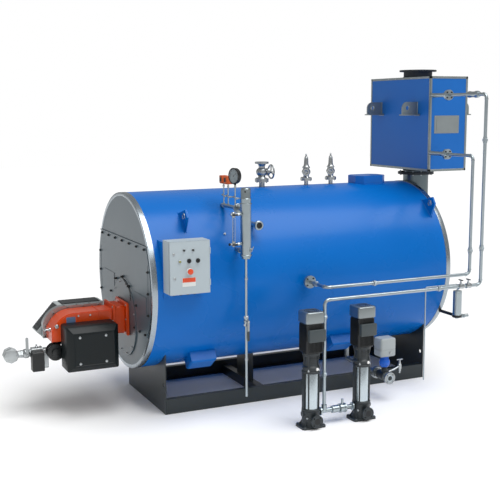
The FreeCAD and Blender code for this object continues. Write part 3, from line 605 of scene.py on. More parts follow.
fan_low, fan_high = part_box("fan_housing")
CASING_LUGS = ((-0.46, 1.03), (-0.62, 1.03), (-0.78, 1.03), (-0.93, 0.985), (-1.015, 0.86), (-1.02, 0.755),
               (-0.80, 0.75))
bm = bmesh.new()
for x, z in CASING_LUGS:
    turned(bm, (x, fan_low.y - 0.012, z), Y, [(0, 0.007), (0, 0.012), (0.012, 0.014), (0.012, 0)], 16)
for x in (-0.55, -0.68, -0.81):
    slab(bm, (x - 0.004, fan_low.y + 0.004, fan_high.z - 0.001),
         (x + 0.004, fan_high.y - 0.004, fan_high.z + 0.008), 0.002)
piece("fan_casing_lugs_and_ribs", bm, die_cast)
MOUTH_TOP, MOUTH_FOOT = Vector((-0.862, 0, 1.048)), Vector((-1.092, 0, 0.790))
intake_low, intake_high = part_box("air_intake")
down = (MOUTH_FOOT - MOUTH_TOP).normalized()
out = Vector((down.z, 0, -down.x))
bm = bmesh.new()
SLATS = 11
for i in range(SLATS):
    centre = MOUTH_TOP + down * (0.028 + 0.0265 * i) + out * 0.002
    corners = [centre - down * 0.010 + out * 0.0075, centre + down * 0.008 + out * 0.001,
               centre + down * 0.012 + out * 0.001, centre - down * 0.006 + out * 0.0075]
    prism(bm, *[[(c.x, level, c.z) for c in corners]
                for level in (intake_low.y + 0.020, intake_high.y - 0.020)])
mouth = (MOUTH_TOP + MOUTH_FOOT) / 2
mouth.y = (intake_low.y + intake_high.y) / 2
MOUTH_SIZE = ((MOUTH_FOOT - MOUTH_TOP).length - 0.022, intake_high.y - intake_low.y - 0.022)
moulded(bm, mouth, out, down, MOUTH_SIZE, [(-0.001, 0), (0.002, 0), (0.003, 0.001)], 0.006)
slab(bm, (-0.820, intake_low.y + 0.014, intake_high.z - 0.002),
     (-0.420, intake_high.y - 0.014, intake_high.z + 0.010), 0.004)
piece("intake_louvre_and_lid", bm, louvre_black)

# ---------------------------------------------------------------- burner cabinet
# A deep moulded cover over the burner's controls, dark slate plastic with a fine spark-eroded grain.
# Its lid bevels broadly to a framed flat panel, which four plated screws hold.
cabinet_plastic = painted("slate_moulded_plastic", "#12191B", 0.36, peel_mm=2.5, peel=0.15, drift=0.06,
                          specular=0.25)
cab_low, cab_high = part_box("burner_cabinet")
cab_middle = (cab_low + cab_high) / 2
LID_DEPTH, LID_BEVEL = 0.055, 0.054
depth = cab_high.y - cab_low.y
bm = bmesh.new()
moulded(bm, (cab_middle.x, cab_high.y, cab_middle.z), -Y, -X,
        (cab_high.x - cab_low.x, cab_high.z - cab_low.z),
        [(0, 0.004), (0.004, 0), (0.078, 0), (0.079, 0.003), (0.082, 0.003), (0.083, 0),
         (depth - LID_DEPTH - 0.006, 0), (depth - LID_DEPTH, 0.003), (depth - 0.004, LID_BEVEL - 0.004),
         (depth, LID_BEVEL + 0.002), (depth, LID_BEVEL + 0.012), (depth - 0.004, LID_BEVEL + 0.016),
         (depth - 0.0035, LID_BEVEL + 0.03)], 0.022)
cabinet = piece("cabinet_cover", bm, cabinet_plastic, sharp_deg=40)
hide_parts("burner_cabinet")
bm = bmesh.new()
for x in (-0.802, -0.542):
    for z in (0.835, 0.574):
        turned(bm, (x, cab_low.y + 0.006, z), -Y,
               [(0, 0.014), (0.006, 0.013), (0.009, 0.008), (0.009, 0)], 20)
piece("cabinet_screws", bm, zinc)
# Moulded black nylon: even, dark and half matt. The same black is also painted shade on the discs that
# stand for the pumps' guard perforations, suction bores and bolt holes.
black_nylon_and_hole_shade = painted("black_nylon_and_painted_hole_shade", "#15181A", 0.5, peel_mm=3, peel=0.1)
bm = bmesh.new()
for x in (-0.78, -0.70, -0.62):
    turned(bm, (x, cab_high.y - 0.07, cab_low.z), -Z,
           [(0, 0.017), (0.008, 0.017), (0.008, 0.014), (0.026, 0.013), (0.03, 0.008), (0.03, 0)], 14)
piece("cabinet_glands", bm, black_nylon_and_hole_shade)

# ---------------------------------------------------------------- fan motor
# A small motor bolted up under the arm, black-painted cast aluminium with cooling fins along its
# shell, a domed fan cowl towards the operator and a mounting block above it.
motor_low, motor_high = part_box("fan_motor")
SHELL_R = 0.085
MOTOR_X, MOTOR_Z = motor_low.x + SHELL_R, motor_low.z + SHELL_R
# Black enamel on fins, its gloss wandering a little from place to place.
motor_black = painted("black_cast_enamel", "#16191B", 0.34, peel_mm=4, peel=0.2, drift=0.2)


def finned(bm, at, along, inner, outer, length, count, thick=0.003):
    """Adds cooling fins round an axis."""
    at, along = Vector(at), Vector(along)
    across = along.orthogonal().normalized()
    up = along.cross(across)
    for i in range(count):
        a = 2 * math.pi * i / count
        ray, side = across * math.cos(a) + up * math.sin(a), up * math.cos(a) - across * math.sin(a)
        fin = ((inner, -thick), (outer, -thick * 0.4), (outer, thick * 0.4), (inner, thick))
        prism(bm, *[[at + along * d + ray * r + side * s for r, s in fin] for d in (0, length)])


bm = bmesh.new()
turned(bm, (MOTOR_X, -0.010, MOTOR_Z), -Y,
       [(0, 0), (0, 0.078), (0.004, 0.082), (0.016, 0.082), (0.018, 0.071), (0.088, 0.071), (0.090, 0.083),
        (0.104, 0.085), (0.113, 0.078), (0.115, 0.060), (0.117, 0.046), (0.138, 0.044), (0.140, 0.038),
        (0.140, 0)], 48)
finned(bm, (MOTOR_X, -0.028, MOTOR_Z), -Y, 0.069, 0.082, 0.070, 30)
slab(bm, (motor_high.x - 0.115, -0.055, MOTOR_Z + 0.062), (motor_high.x - 0.002, 0.055, 0.745), 0.006)
motor = piece("fan_motor_shell", bm, motor_black)
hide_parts("fan_motor")

# ---------------------------------------------------------------- gas train
# Cast aluminium and zinc-plated fittings in one line: an eight-sided gas filter, a ball cock between
# hexagon unions, and the gas valve, whose square blocks are screwed to the burner's elbow.
train_low, train_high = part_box("gas_train")
lever_low, lever_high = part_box("gas_cock_lever")
GAS_Y, GAS_Z = train_high.y - 0.080, MOTOR_Z - 0.020
FILTER_X, COCK_X = train_low.x + 0.075, (lever_low.x + lever_high.x) / 2
# Sand-cast aluminium is pale and dull, its grain 2 mm across.
sand_cast = bare("sand_cast_aluminium", "#C4C9CA", 0.45, 2, relief=0.3)
bm = bmesh.new()
turned(bm, (FILTER_X, GAS_Y - 0.050, GAS_Z), Y,
       [(0, 0), (0, 0.070), (0.006, 0.075), (0.030, 0.075), (0.033, 0.071), (0.066, 0.071), (0.070, 0.075),
        (0.094, 0.075), (0.100, 0.070), (0.100, 0.036), (0.128, 0.034), (0.130, 0.030), (0.130, 0.021),
        (0.102, 0.021), (0.102, 0)], 8)
turned(bm, (FILTER_X, GAS_Y - 0.050, GAS_Z), -Y,
       [(0, 0.066), (0.005, 0.064), (0.008, 0.058), (0.008, 0)], 32)
for x, length in ((-1.322, 0.034), (-1.026, 0.03)):
    turned(bm, (x, GAS_Y, GAS_Z), X, [(0, 0.022), (0, 0.034), (0.004, 0.037), (length, 0.037),
                                      (length + 0.004, 0.034), (length + 0.004, 0.02)], 6)
moulded(bm, (-1.184, GAS_Y, GAS_Z), X, Y, (0.090, 0.100),
        [(0, 0.003), (0.003, 0), (0.089, 0), (0.092, 0.003)], 0.012)
moulded(bm, (-1.076, GAS_Y, GAS_Z - 0.0625), X, Y, (0.100, 0.195),
        [(0, 0.004), (0.004, 0), (0.050, 0), (0.054, 0.004)], 0.014)
moulded(bm, (-1.092, GAS_Y, GAS_Z), X, Y, (0.110, 0.110),
        [(0, 0.001), (0.001, 0), (0.015, 0), (0.016, 0.001)], 0.018)
gas_body = piece("gas_filter_and_valve", bm, sand_cast, sharp_deg=28)
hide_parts("gas_train")
bm = bmesh.new()
line = bent([(FILTER_X + 0.06, GAS_Y, GAS_Z), (-0.905, GAS_Y, GAS_Z), (-0.905, GAS_Y, GAS_Z + 0.080)],
            0.030)
swept(bm, line, 0.0215, 24)
turned(bm, (-1.290, GAS_Y, GAS_Z), X,
       [(0, 0.022), (0, 0.036), (0.003, 0.040), (0.021, 0.040), (0.024, 0.036)], 6)
turned(bm, (-1.266, GAS_Y, GAS_Z), X,
       [(0, 0.034), (0.006, 0.042), (0.018, 0.047), (0.044, 0.047), (0.056, 0.042), (0.062, 0.034)], 36)
turned(bm, (-1.204, GAS_Y, GAS_Z), X,
       [(0, 0.036), (0.003, 0.040), (0.017, 0.040), (0.020, 0.036), (0.020, 0.02)], 6)
turned(bm, (COCK_X, GAS_Y, GAS_Z), -Y,
       [(0.03, 0.022), (0.046, 0.020), (0.050, 0.012), (GAS_Y + 0.012, 0.011), (GAS_Y + 0.012, 0)], 20)
for dy in (-0.032, 0.032):
    for dz in (-0.036, 0.036):
        turned(bm, (-1.184, GAS_Y + dy, GAS_Z + dz), -X,
               [(0, 0.007), (0.006, 0.007), (0.006, 0.003), (0.003, 0)], 12)
for i in range(6):
    a = math.radians(60 * i)
    at = (FILTER_X + 0.052 * math.cos(a), GAS_Y - 0.058, GAS_Z + 0.052 * math.sin(a))
    turned(bm, at, -Y, [(0, 0.006), (0.005, 0.006), (0.005, 0.003), (0.003, 0)], 6)
turned(bm, (-1.13, GAS_Y, GAS_Z + 0.050), Z,
       [(0, 0.014), (0.010, 0.014), (0.014, 0.009), (0.030, 0.009), (0.030, 0)], 12)
piece("gas_line_fittings", bm, zinc)
act_low, act_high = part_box("gas_actuator")
act_middle = (act_low + act_high) / 2
# Glass-filled polyamide: black and half matt, with a fine mould grain.
actuator_black = painted("black_polyamide", "#17191A", 0.42, peel_mm=2.5, peel=0.15)
bm = bmesh.new()
moulded(bm, (act_middle.x, act_high.y, act_middle.z), -Y, -X,
        (act_high.x - act_low.x, act_high.z - act_low.z),
        [(0, 0.002), (0.002, 0), (0.030, 0), (0.031, 0.002), (0.034, 0.002), (0.035, 0), (0.084, 0),
         (0.090, 0.006)], 0.010)
gas_actuator = piece("gas_actuator_case", bm, actuator_black, sharp_deg=40)
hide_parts("gas_actuator")
# Chromated sheet steel: grey, with a light brushed sheen.
lever_steel = bare("chromated_steel_lever", "#A6ABAC", 0.3, 3)
dress("gas_cock_lever", lever_steel)
bm = bmesh.new()
turned(bm, (COCK_X, lever_low.y, GAS_Z), -Y, [(0, 0.010), (0.005, 0.010), (0.006, 0.008), (0.006, 0)], 6)
piece("gas_lever_nut", bm, zinc, body="gas_cock_lever")

# ---------------------------------------------------------------- economiser
# An insulated box in satin blue coated sheet. Folded galvanised strips, screwed every 150 mm, cover
# its edges; lifting eyes, also galvanised, are welded to its ends, and a bare plate is riveted on.
satin_blue = painted("satin_blue_coated_sheet", "#0966BA", 0.42, peel_mm=120, peel=0.12, drift=0.07,
                     specular=0.35)
galvanised = bare("galvanised_strip", "#9CA5A6", 0.46, 9, relief=0.1)
dress("economiser_casing", satin_blue)
dress("economiser_lugs", galvanised)
eco_low, eco_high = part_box("economiser_casing")
STRIP_W, STRIP_T, SCREW_PITCH = 0.022, 0.003, 0.150
PAN_HEAD = [(0, 0.0055), (0.003, 0.0045), (0.004, 0)]


def row(low, high, pitch):
    """Evenly spaced places between two ends."""
    count = max(2, round((high - low) / pitch) + 1)
    return [low + (high - low) * i / (count - 1) for i in range(count)]


bm = bmesh.new()
ends = [(eco_low[i], eco_high[i]) for i in range(3)]
for along in range(3):
    first, second = [i for i in range(3) if i != along]
    for a in (0, 1):
        for b in (0, 1):
            for thin, wide, thin_end, wide_end in ((first, second, a, b), (second, first, b, a)):
                low, high = [0.0] * 3, [0.0] * 3
                low[along], high[along] = ends[along][0] - STRIP_T, ends[along][1] + STRIP_T
                face, edge = ends[thin][thin_end], ends[wide][wide_end]
                low[thin], high[thin] = sorted((face, face + (2 * thin_end - 1) * STRIP_T))
                low[wide], high[wide] = sorted((edge + (2 * wide_end - 1) * STRIP_T,
                                                edge - (2 * wide_end - 1) * STRIP_W))
                slab(bm, low, high, 0.0012, 1)
strips = piece("economiser_edge_strips", bm, galvanised)
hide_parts("economiser_frame")
bm = bmesh.new()
for side, x in ((-1, eco_low.x), (1, eco_high.x)):
    for z in (eco_low.z + STRIP_W / 2, eco_high.z - STRIP_W / 2):
        for y in row(eco_low.y + 0.06, eco_high.y - 0.06, SCREW_PITCH):
            turned(bm, (x + side * STRIP_T, y, z), X * side, PAN_HEAD, 10)
    for y in (eco_low.y + STRIP_W / 2, eco_high.y - STRIP_W / 2):
        for z in row(eco_low.z + 0.06, eco_high.z - 0.06, SCREW_PITCH):
            turned(bm, (x + side * STRIP_T, y, z), X * side, PAN_HEAD, 10)
for side, y in ((-1, eco_low.y), (1, eco_high.y)):
    for z in (eco_low.z + STRIP_W / 2, eco_high.z - STRIP_W / 2):
        for x in row(eco_low.x + 0.06, eco_high.x - 0.06, SCREW_PITCH):
            turned(bm, (x, y + side * STRIP_T, z), Y * side, PAN_HEAD, 10)
PLATE_X, PLATE_Z = (3.159, 3.489), (2.745, 2.939)
for x in (PLATE_X[0] + 0.012, PLATE_X[1] - 0.012):
    for z in (PLATE_Z[0] + 0.012, PLATE_Z[1] - 0.012):
        turned(bm, (x, eco_low.y - 0.0025, z), -Y, [(0, 0.004), (0.002, 0.003), (0.003, 0)], 10)
piece("economiser_screws", bm, zinc)
bm = bmesh.new()
slab(bm, (PLATE_X[0], eco_low.y - 0.0025, PLATE_Z[0]), (PLATE_X[1], eco_low.y + 0.001, PLATE_Z[1]), 0.001)
slab(bm, (PLATE_X[0] + 0.030, eco_low.y - 0.0045, PLATE_Z[0] + 0.035),
     (PLATE_X[1] - 0.030, eco_low.y - 0.002, PLATE_Z[1] - 0.035), 0.001)
# An etched aluminium plate, brushed along its length, with nothing printed on it.
etched_plate = bare("blank_etched_aluminium_plate", "#A3ABAD", 0.40, 2, stretch=(0.05, 1, 1))
piece("economiser_blank_plate", bm, etched_plate)
bm = bmesh.new()
for side, x in ((-1, eco_low.x), (1, eco_high.x)):
    for y in (-0.360, 0.360):
        for edge in (-0.0085, 0.0085):
            swept(bm, [Vector((x + side * 0.006, y + edge, z)) for z in row(2.954, 3.086, 0.022)], 0.004, 8)
        for z in (2.939, 2.953):
            swept(bm, [Vector((x + side * 0.004, level, z)) for level in row(y - 0.048, y + 0.048, 0.016)],
                  0.004, 8)
        for face in (-1, 1):
            turned(bm, (x + side * 0.135, y + face * 0.008, 3.022), Y * face,
                   [(0, 0.0245), (0.003, 0.026), (0.004, 0.031), (0.003, 0.036), (0, 0.037)], 28)
piece("economiser_lug_welds", bm, galvanised)

# ---------------------------------------------------------------- flue
# The duct is rolled steel in dark heat-resisting paint with a bolted flange pair under the economiser.
# The outlet flange on the roof, ready for the chimney, is the same, with twelve open bolt holes.
flue_black = painted("dark_heat_resisting_paint", "#23292C", 0.50, peel_mm=4, peel=0.2, drift=0.25)
# Rolled steel darkened by heat, with its grain drawn upwards.
duct_steel = bare("rolled_duct_steel", "#6F7B80", 0.34, 8, stretch=(1, 1, 0.15))
dress("flue_outlet", flue_black)
dress("flue_duct", duct_steel)
dress("rear_smokebox", cover_grey)
duct_low, duct_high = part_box("flue_duct")
duct_x = (duct_low.x + duct_high.x) / 2
box_low, box_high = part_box("rear_smokebox")
FLANGE_FOOT, FLANGE_T = 2.262, 0.014
bm = bmesh.new()
for z0 in (FLANGE_FOOT, FLANGE_FOOT + FLANGE_T):
    turned(bm, (duct_x, 0, z0), Z, [(0, 0.148), (0, 0.2055), (0.0015, 0.207), (0.0125, 0.207),
                                    (FLANGE_T, 0.2055), (FLANGE_T, 0.148)], 64)
turned(bm, (duct_x, 0, eco_low.z - 0.026), Z,
       [(0, 0.147), (0.008, 0.152), (0.024, 0.180), (0.024, 0.147)], 64)
turned(bm, (duct_x, 0, eco_high.z + STRIP_T), Z,
       [(0, 0.163), (0, 0.180), (0.004, 0.176), (0.012, 0.163)], 64)
piece("flue_flange_faces", bm, flue_black)
bm = bmesh.new()
bolt_circle(bm, (duct_x, 0, FLANGE_FOOT + 2 * FLANGE_T), Z, 0.180, 12, 0.010, 15)
bolt_circle(bm, (duct_x, 0, FLANGE_FOOT), -Z, 0.180, 12, 0.010, 15)
for side in (-1, 1):
    for z in row(box_low.z + 0.05, box_high.z - 0.05, 0.1):
        turned(bm, (box_low.x + 0.02, side * box_high.y, z), Y * side,
               [(0, 0.009), (0.006, 0.009), (0.007, 0)], 6)
piece("flue_bolts", bm, zinc)
bm = bmesh.new()
for side in (-1, 1):
    inner, outer = sorted((side * box_high.y, side * (box_high.y + 0.006)))
    slab(bm, (box_low.x, inner, box_low.z), (box_low.x + 0.04, outer, box_high.z), 0.0015)
piece("smokebox_flanges", bm, cover_grey)

# ---------------------------------------------------------------- feed pipes
# Satin drawn stainless tube with butt-weld elbows, pressed unions and loose flanges on plated bolts.
# Two small valves with dark grips sit on the supply line where it passes the drum's rear end.
# Drawn tube: bright, with a fine grain and long clean highlights.
drawn_stainless = bare("satin_drawn_stainless", "#AEB9BE", 0.30, 3, relief=0.05)
for name in ("supply_pipe", "return_pipe", "drum_nozzles", "economiser_nozzles"):
    dress(name, drawn_stainless)
return_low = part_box("return_pipe")[0]
TUBE_R, BEND = 0.017, 0.048
PUMP_Y, PUMP_HALF = -1.512, 0.092
supply_x, supply_z = 1.285, 1.222
feed_x, riser_x = 1.408, 3.120
upper_z, lower_z = 3.157, 2.533
return_y, return_z = return_low.y + TUBE_R, return_low.z + 0.064
NOZZLE_JOINT, FEED_JOINT = (-0.906, -0.874), (-1.001, -0.969)


def collar(bm, at, along, radius=TUBE_R, length=0.012, proud=0.0035):
    """Adds a rounded ring round a pipe, as a weld or the lip of a pressed fitting."""
    turned(bm, Vector(at) - Vector(along) * length / 2, along,
           [(0, radius - 0.001), (0.001, radius + proud * 0.7), (length / 2, radius + proud),
            (length - 0.001, radius + proud * 0.7), (length, radius - 0.001)], 24)


def union(bm, at, along, radius=TUBE_R):
    """Adds a hexagon union nut between two collars."""
    at, along = Vector(at), Vector(along)
    turned(bm, at - along * 0.014, along,
           [(0, radius), (0, radius + 0.009), (0.003, radius + 0.012), (0.025, radius + 0.012),
            (0.028, radius + 0.009), (0.028, radius)], 6)
    collar(bm, at - along * 0.024, along, radius, 0.016, 0.005)
    collar(bm, at + along * 0.024, along, radius, 0.016, 0.005)


bm = bmesh.new()
corners = [((supply_x, PUMP_Y, supply_z), Z, X), ((riser_x, PUMP_Y, supply_z), X, Z),
           ((riser_x, PUMP_Y, upper_z), Z, Y), ((riser_x, return_y, lower_z), -Y, -Z),
           ((riser_x, return_y, return_z), -Z, -X), ((feed_x, return_y, return_z), -X, Y)]
for at, into, onward in corners:
    collar(bm, Vector(at) - into * BEND, into)
    collar(bm, Vector(at) + onward * BEND, onward)
for at, along in (((supply_x, PUMP_Y, 0.50), Z), ((supply_x, PUMP_Y, 1.06), Z),
                  ((2.60, PUMP_Y, supply_z), X), ((riser_x, PUMP_Y, 1.60), Z),
                  ((riser_x, return_y, 1.55), Z), ((1.95, return_y, return_z), X),
                  ((feed_x, -1.12, return_z), Y), ((riser_x, PUMP_Y, 2.70), Z)):
    union(bm, at, along)
turned(bm, (riser_x, -1.395, upper_z), Y,
       [(0, TUBE_R), (0.004, 0.030), (0.020, 0.036), (0.050, 0.036), (0.070, 0.030), (0.120, 0.030),
        (0.140, 0.034), (0.156, 0.034), (0.165, TUBE_R)], 28)
piece("pipe_elbow_welds_and_unions", bm, drawn_stainless, sharp_deg=28)
bm = bmesh.new()
for z in (lower_z, upper_z):
    bolt_circle(bm, (riser_x, NOZZLE_JOINT[0], z), -Y, 0.039, 4, 0.0085)
    bolt_circle(bm, (riser_x, NOZZLE_JOINT[1], z), Y, 0.039, 4, 0.0085)
bolt_circle(bm, (feed_x, FEED_JOINT[0], return_z), -Y, 0.046, 4, 0.009)
bolt_circle(bm, (feed_x, FEED_JOINT[1], return_z), Y, 0.046, 4, 0.009)
piece("pipe_flange_bolts", bm, black_oxide_and_bore_shade)
SMALL_VALVE_X = (2.872, 2.965)
bm = bmesh.new()
for x in SMALL_VALVE_X:
    turned(bm, (x, PUMP_Y, supply_z), X,
           [(-0.030, 0.018), (-0.030, 0.026), (-0.012, 0.026), (-0.008, 0.022), (0.008, 0.022),
            (0.012, 0.026), (0.030, 0.026), (0.030, 0.018)], 8)
    turned(bm, (x, PUMP_Y, supply_z), Z,
           [(0.015, 0.012), (0.040, 0.012), (0.042, 0.008), (0.062, 0.008), (0.062, 0)], 16)
piece("supply_valve_bodies", bm, zinc)
bm = bmesh.new()
for x in SMALL_VALVE_X:
    slab(bm, (x - 0.008, PUMP_Y - 0.034, supply_z + 0.060), (x + 0.008, PUMP_Y + 0.034, supply_z + 0.070),
         0.003)
piece("supply_valve_grips", bm, black_nylon_and_hole_shade)
bore = (0.908, -0.850, 1.884)
bm = bmesh.new()
turned(bm, bore, -Y, [(0, 0.030), (0, 0.045), (0.002, 0.047), (0.010, 0.047), (0.014, 0.042),
                      (0.014, 0.031), (0.002, 0.029)], 36)
piece("level_nozzle_lip", bm, drawn_stainless)
# A black disc set flush inside the lip is painted shade for the nozzle's open bore.
bm = bmesh.new()
turned(bm, bore, -Y, [(0, 0.031), (0.003, 0.031), (0.003, 0)], 30)
piece("level_nozzle_painted_bore_shade", bm, black_oxide_and_bore_shade)

# ---------------------------------------------------------------- pump feet
# Grey iron castings under black cathodic paint, a little rough from the sand mould: a round bowl on
# four splayed feet, with webs between, and a bored suction flange towards the operator.
# The same black is also painted shade on the disc across the blow-down outlet's bore.
cast_black_and_bore_shade = painted("black_cathodic_paint_and_painted_bore_shade", "#272E32", 0.40, peel_mm=2.5, peel=0.45, drift=0.25)
PORT_Z, SUCTION_BOLT_R = 0.082, 0.049
DIAGONALS = [math.radians(45 + 90 * i) for i in range(4)]
PUMPS = {}
for pump in ("pump_1", "pump_2"):
    PUMPS[pump] = (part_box(pump + "_base")[0].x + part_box(pump + "_base")[1].x) / 2
for pump, px in PUMPS.items():
    dress(pump + "_base", cast_black_and_bore_shade)
    port_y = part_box(pump + "_base")[0].y
    bm = bmesh.new()
    for sx in (-1, 1):
        for sy in (-1, 1):
            corner = Vector((px + sx * 0.098, PUMP_Y + sy * 0.066, 0))
            turned(bm, corner, Z, [(0.001, 0.026), (0.020, 0.026), (0.027, 0.020), (0.027, 0)], 20)
            inward = Vector((-sx * 0.8, -sy * 0.6, 0)).normalized()
            across = Vector((-inward.y, inward.x, 0)) * 0.006
            web = [corner + Z * 0.02, corner + inward * 0.06 + Z * 0.02, corner + inward * 0.06 + Z * 0.125,
                   corner + inward * 0.02 + Z * 0.05]
            prism(bm, *[[p + across * s for p in web] for s in (-1, 1)])
    turned(bm, (px, PUMP_Y, 0.020), Z, [(0, 0.100), (0.018, 0.092), (0.040, 0.087), (0.120, 0.086),
                                        (0.130, 0.090), (0.145, 0.090), (0.145, 0.07)], 48)
    turned(bm, (px, port_y, PORT_Z), Y, [(0.0, 0.030), (-0.0015, 0.032), (-0.0015, 0.038), (0, 0.040)], 36)
    piece(pump + "_foot_webs", bm, cast_black_and_bore_shade)
    # A black disc over the suction bore, and one over each of its four bolt holes, is painted shade for the
    # open bore and holes.
    bm = bmesh.new()
    turned(bm, (px, port_y - 0.0006, PORT_Z), Y, [(0.0, 0.0295), (0.0, 0)], 32)
    for a in DIAGONALS:
        hole = (px + SUCTION_BOLT_R * math.cos(a), port_y + 0.012, PORT_Z + SUCTION_BOLT_R * math.sin(a))
        turned(bm, hole, Y, [(0, 0.0069), (0, 0)], 16)
    piece(pump + "_suction_bore_painted_shade", bm, black_nylon_and_hole_shade)

# ---------------------------------------------------------------- pump stages and lanterns
# The bright sleeve round the stages is clamped between two iron rings by four staybolts. The coupling
# lantern above it is cast iron, with its guard's perforations painted as black discs of shade and a white
# nylon vent plug.
polished_sleeve = bare("polished_stainless_sleeve", "#CAD6DC", 0.24, 3, stretch=(1, 1, 0.08), relief=0.04)
white_plug = painted("white_nylon_plug", "#F2F2F0", 0.35, peel_mm=5, peel=0.05)
SLEEVE_FOOT, SLEEVE_TOP, LANTERN_TOP = 0.165, 0.558, 0.735
STAYS = [Vector((math.cos(a), math.sin(a), 0)) * 0.079 for a in DIAGONALS]
GUARD_R, HOLE_PITCH, HOLE_STEP_DEG = 0.0648, 0.016, 9
for pump, px in PUMPS.items():
    axis = Vector((px, PUMP_Y, 0))
    bm = bmesh.new()
    nut(bm, axis + Vector((-0.068, -0.058, 0.105)), Vector((-0.76, -0.65, 0)), 0.010)
    for stay in STAYS:
        turned(bm, axis + stay + Z * SLEEVE_TOP, Z,
               [(0, 0.010), (0.010, 0.010), (0.012, 0.006), (0.022, 0.006), (0.022, 0)], 6)
    piece(pump + "_stay_nuts", bm, zinc)
    bm = bmesh.new()
    turned(bm, axis + Z * (SLEEVE_FOOT + 0.012), Z,
           [(0, 0.0705), (0.002, 0.0725), (0.372, 0.0725), (0.376, 0.0705)], 56)
    sleeve = piece(pump + "_stage_sleeve", bm, polished_sleeve)
    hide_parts(pump + "_sleeve")
    bm = bmesh.new()
    for z0, height in ((SLEEVE_FOOT, 0.020), (SLEEVE_TOP - 0.022, 0.022)):
        turned(bm, axis + Z * z0, Z, [(0, 0.06), (0, 0.086), (0.003, 0.089), (height - 0.003, 0.089),
                                      (height, 0.086), (height, 0.06)], 48)
    for stay in STAYS:
        turned(bm, axis + stay + Z * (SLEEVE_FOOT + 0.01), Z,
               [(0, 0.007), (SLEEVE_TOP - SLEEVE_FOOT - 0.02, 0.007)], 12)
    slab(bm, (px - 0.088, PUMP_Y - 0.022, SLEEVE_FOOT + 0.02),
         (px - 0.070, PUMP_Y + 0.022, SLEEVE_TOP - 0.02), 0.003)
    turned(bm, axis + Z * SLEEVE_TOP, Z,
           [(0, 0.070), (0, 0.080), (0.004, 0.082), (0.036, 0.082), (0.042, 0.076), (0.052, 0.066),
            (0.140, 0.064), (0.150, 0.070), (0.153, 0.086), (0.175, 0.086), (0.177, 0.084), (0.177, 0)], 48)
    rib = [(0.060, SLEEVE_TOP + 0.036), (0.082, SLEEVE_TOP + 0.036), (0.072, SLEEVE_TOP + 0.09),
           (0.085, LANTERN_TOP - 0.022), (0.060, LANTERN_TOP - 0.022)]
    for a in DIAGONALS:
        ray = Vector((math.cos(a), math.sin(a), 0))
        side = Vector((-math.sin(a), math.cos(a), 0)) * 0.008
        prism(bm, *[[axis + Z * z + ray * r + side * s for r, z in rib] for s in (-1, 1)])
    piece(pump + "_staybolts_and_lantern", bm, cast_black_and_bore_shade)
    bm = bmesh.new()
    vent = axis + Vector((0.024, -0.078, SLEEVE_TOP + 0.022))
    turned(bm, vent, -Y, [(0, 0.015), (0.008, 0.014), (0.012, 0.010), (0.013, 0)], 20)
    piece(pump + "_vent_plug", bm, white_plug)
    # Black discs round the lantern's waist are painted shade for the guard's perforations.
    bm = bmesh.new()
    for i in range(5):
        for k in range(-3, 4):
            a = math.radians(-90 + HOLE_STEP_DEG * k)
            ray = Vector((math.cos(a), math.sin(a), 0))
            at = axis + ray * GUARD_R + Z * (SLEEVE_TOP + 0.062 + HOLE_PITCH * i)
            turned(bm, at, ray, [(-0.002, 0.0035), (0.0006, 0.0035), (0.0006, 0)], 8)
    piece(pump + "_guard_holes_painted_shade", bm, black_nylon_and_hole_shade)

# ---------------------------------------------------------------- pump motors
# Square aluminium housings with upright cooling ribs, under black motor enamel. Each has a slate
# terminal box towards the operator and a bright pressed cowl, with a ringed grille, over its fan.
motor_paint = painted("black_motor_enamel", "#14181A", 0.32, peel_mm=4, peel=0.15, drift=0.15)
terminal_grey = painted("slate_terminal_box", "#3E474A", 0.42, peel_mm=3, peel=0.15)
cowl_grey = bare("pressed_aluminium_cowl", "#9BA3A5", 0.36, 3)
COWL_FOOT, PUMP_TOP = 1.028, 1.135
RIB_PITCH, RIB_COUNT, RIB_HALF = 0.014, 11, 0.0022
for pump, px in PUMPS.items():
    bm = bmesh.new()
    moulded(bm, (px, PUMP_Y, LANTERN_TOP), Z, X, (2 * PUMP_HALF - 0.014, 2 * PUMP_HALF - 0.014),
            [(0, 0.004), (0.004, 0), (COWL_FOOT + 0.002 - LANTERN_TOP, 0)], 0.024)
    for turn in range(4):
        face = Matrix.Rotation(math.pi / 2 * turn, 3, "Z")
        for i in range(RIB_COUNT):
            across = RIB_PITCH * (i - (RIB_COUNT - 1) / 2)
            ends = [face @ Vector((across - RIB_HALF, PUMP_HALF - 0.012, 0)),
                    face @ Vector((across + RIB_HALF, PUMP_HALF, 0))]
            slab(bm, (px + min(e.x for e in ends), PUMP_Y + min(e.y for e in ends), LANTERN_TOP + 0.012),
                 (px + max(e.x for e in ends), PUMP_Y + max(e.y for e in ends), COWL_FOOT - 0.014),
                 0.001, 1)
    motor = piece(pump + "_motor_housing", bm, motor_paint, sharp_deg=40)
    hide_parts(pump + "_motor")
    bm = bmesh.new()
    moulded(bm, (px + 0.006, PUMP_Y - 0.080, 0.912), -Y, -X, (0.172, 0.118),
            [(0, 0.001), (0.026, 0), (0.027, 0.002), (0.030, 0.002), (0.031, 0), (0.038, 0),
             (0.042, 0.005)], 0.010)
    piece(pump + "_terminal_box", bm, terminal_grey, sharp_deg=40)
    bm = bmesh.new()
    moulded(bm, (px, PUMP_Y, COWL_FOOT), Z, X, (0.196, 0.196),
            [(0, 0.002), (0.001, 0), (0.094, 0), (0.101, 0.002), (0.1065, 0.009), (0.107, 0.030)], 0.028)
    piece(pump + "_fan_cowl", bm, cowl_grey, sharp_deg=50)
    bm = bmesh.new()
    for radius in (0.030, 0.046, 0.062):
        turned(bm, (px, PUMP_Y, PUMP_TOP - 0.001), Z,
               [(0, radius), (0.002, radius + 0.001), (0.002, radius + 0.006), (0, radius + 0.007)], 40)
    piece(pump + "_cowl_grille", bm, black_nylon_and_hole_shade)

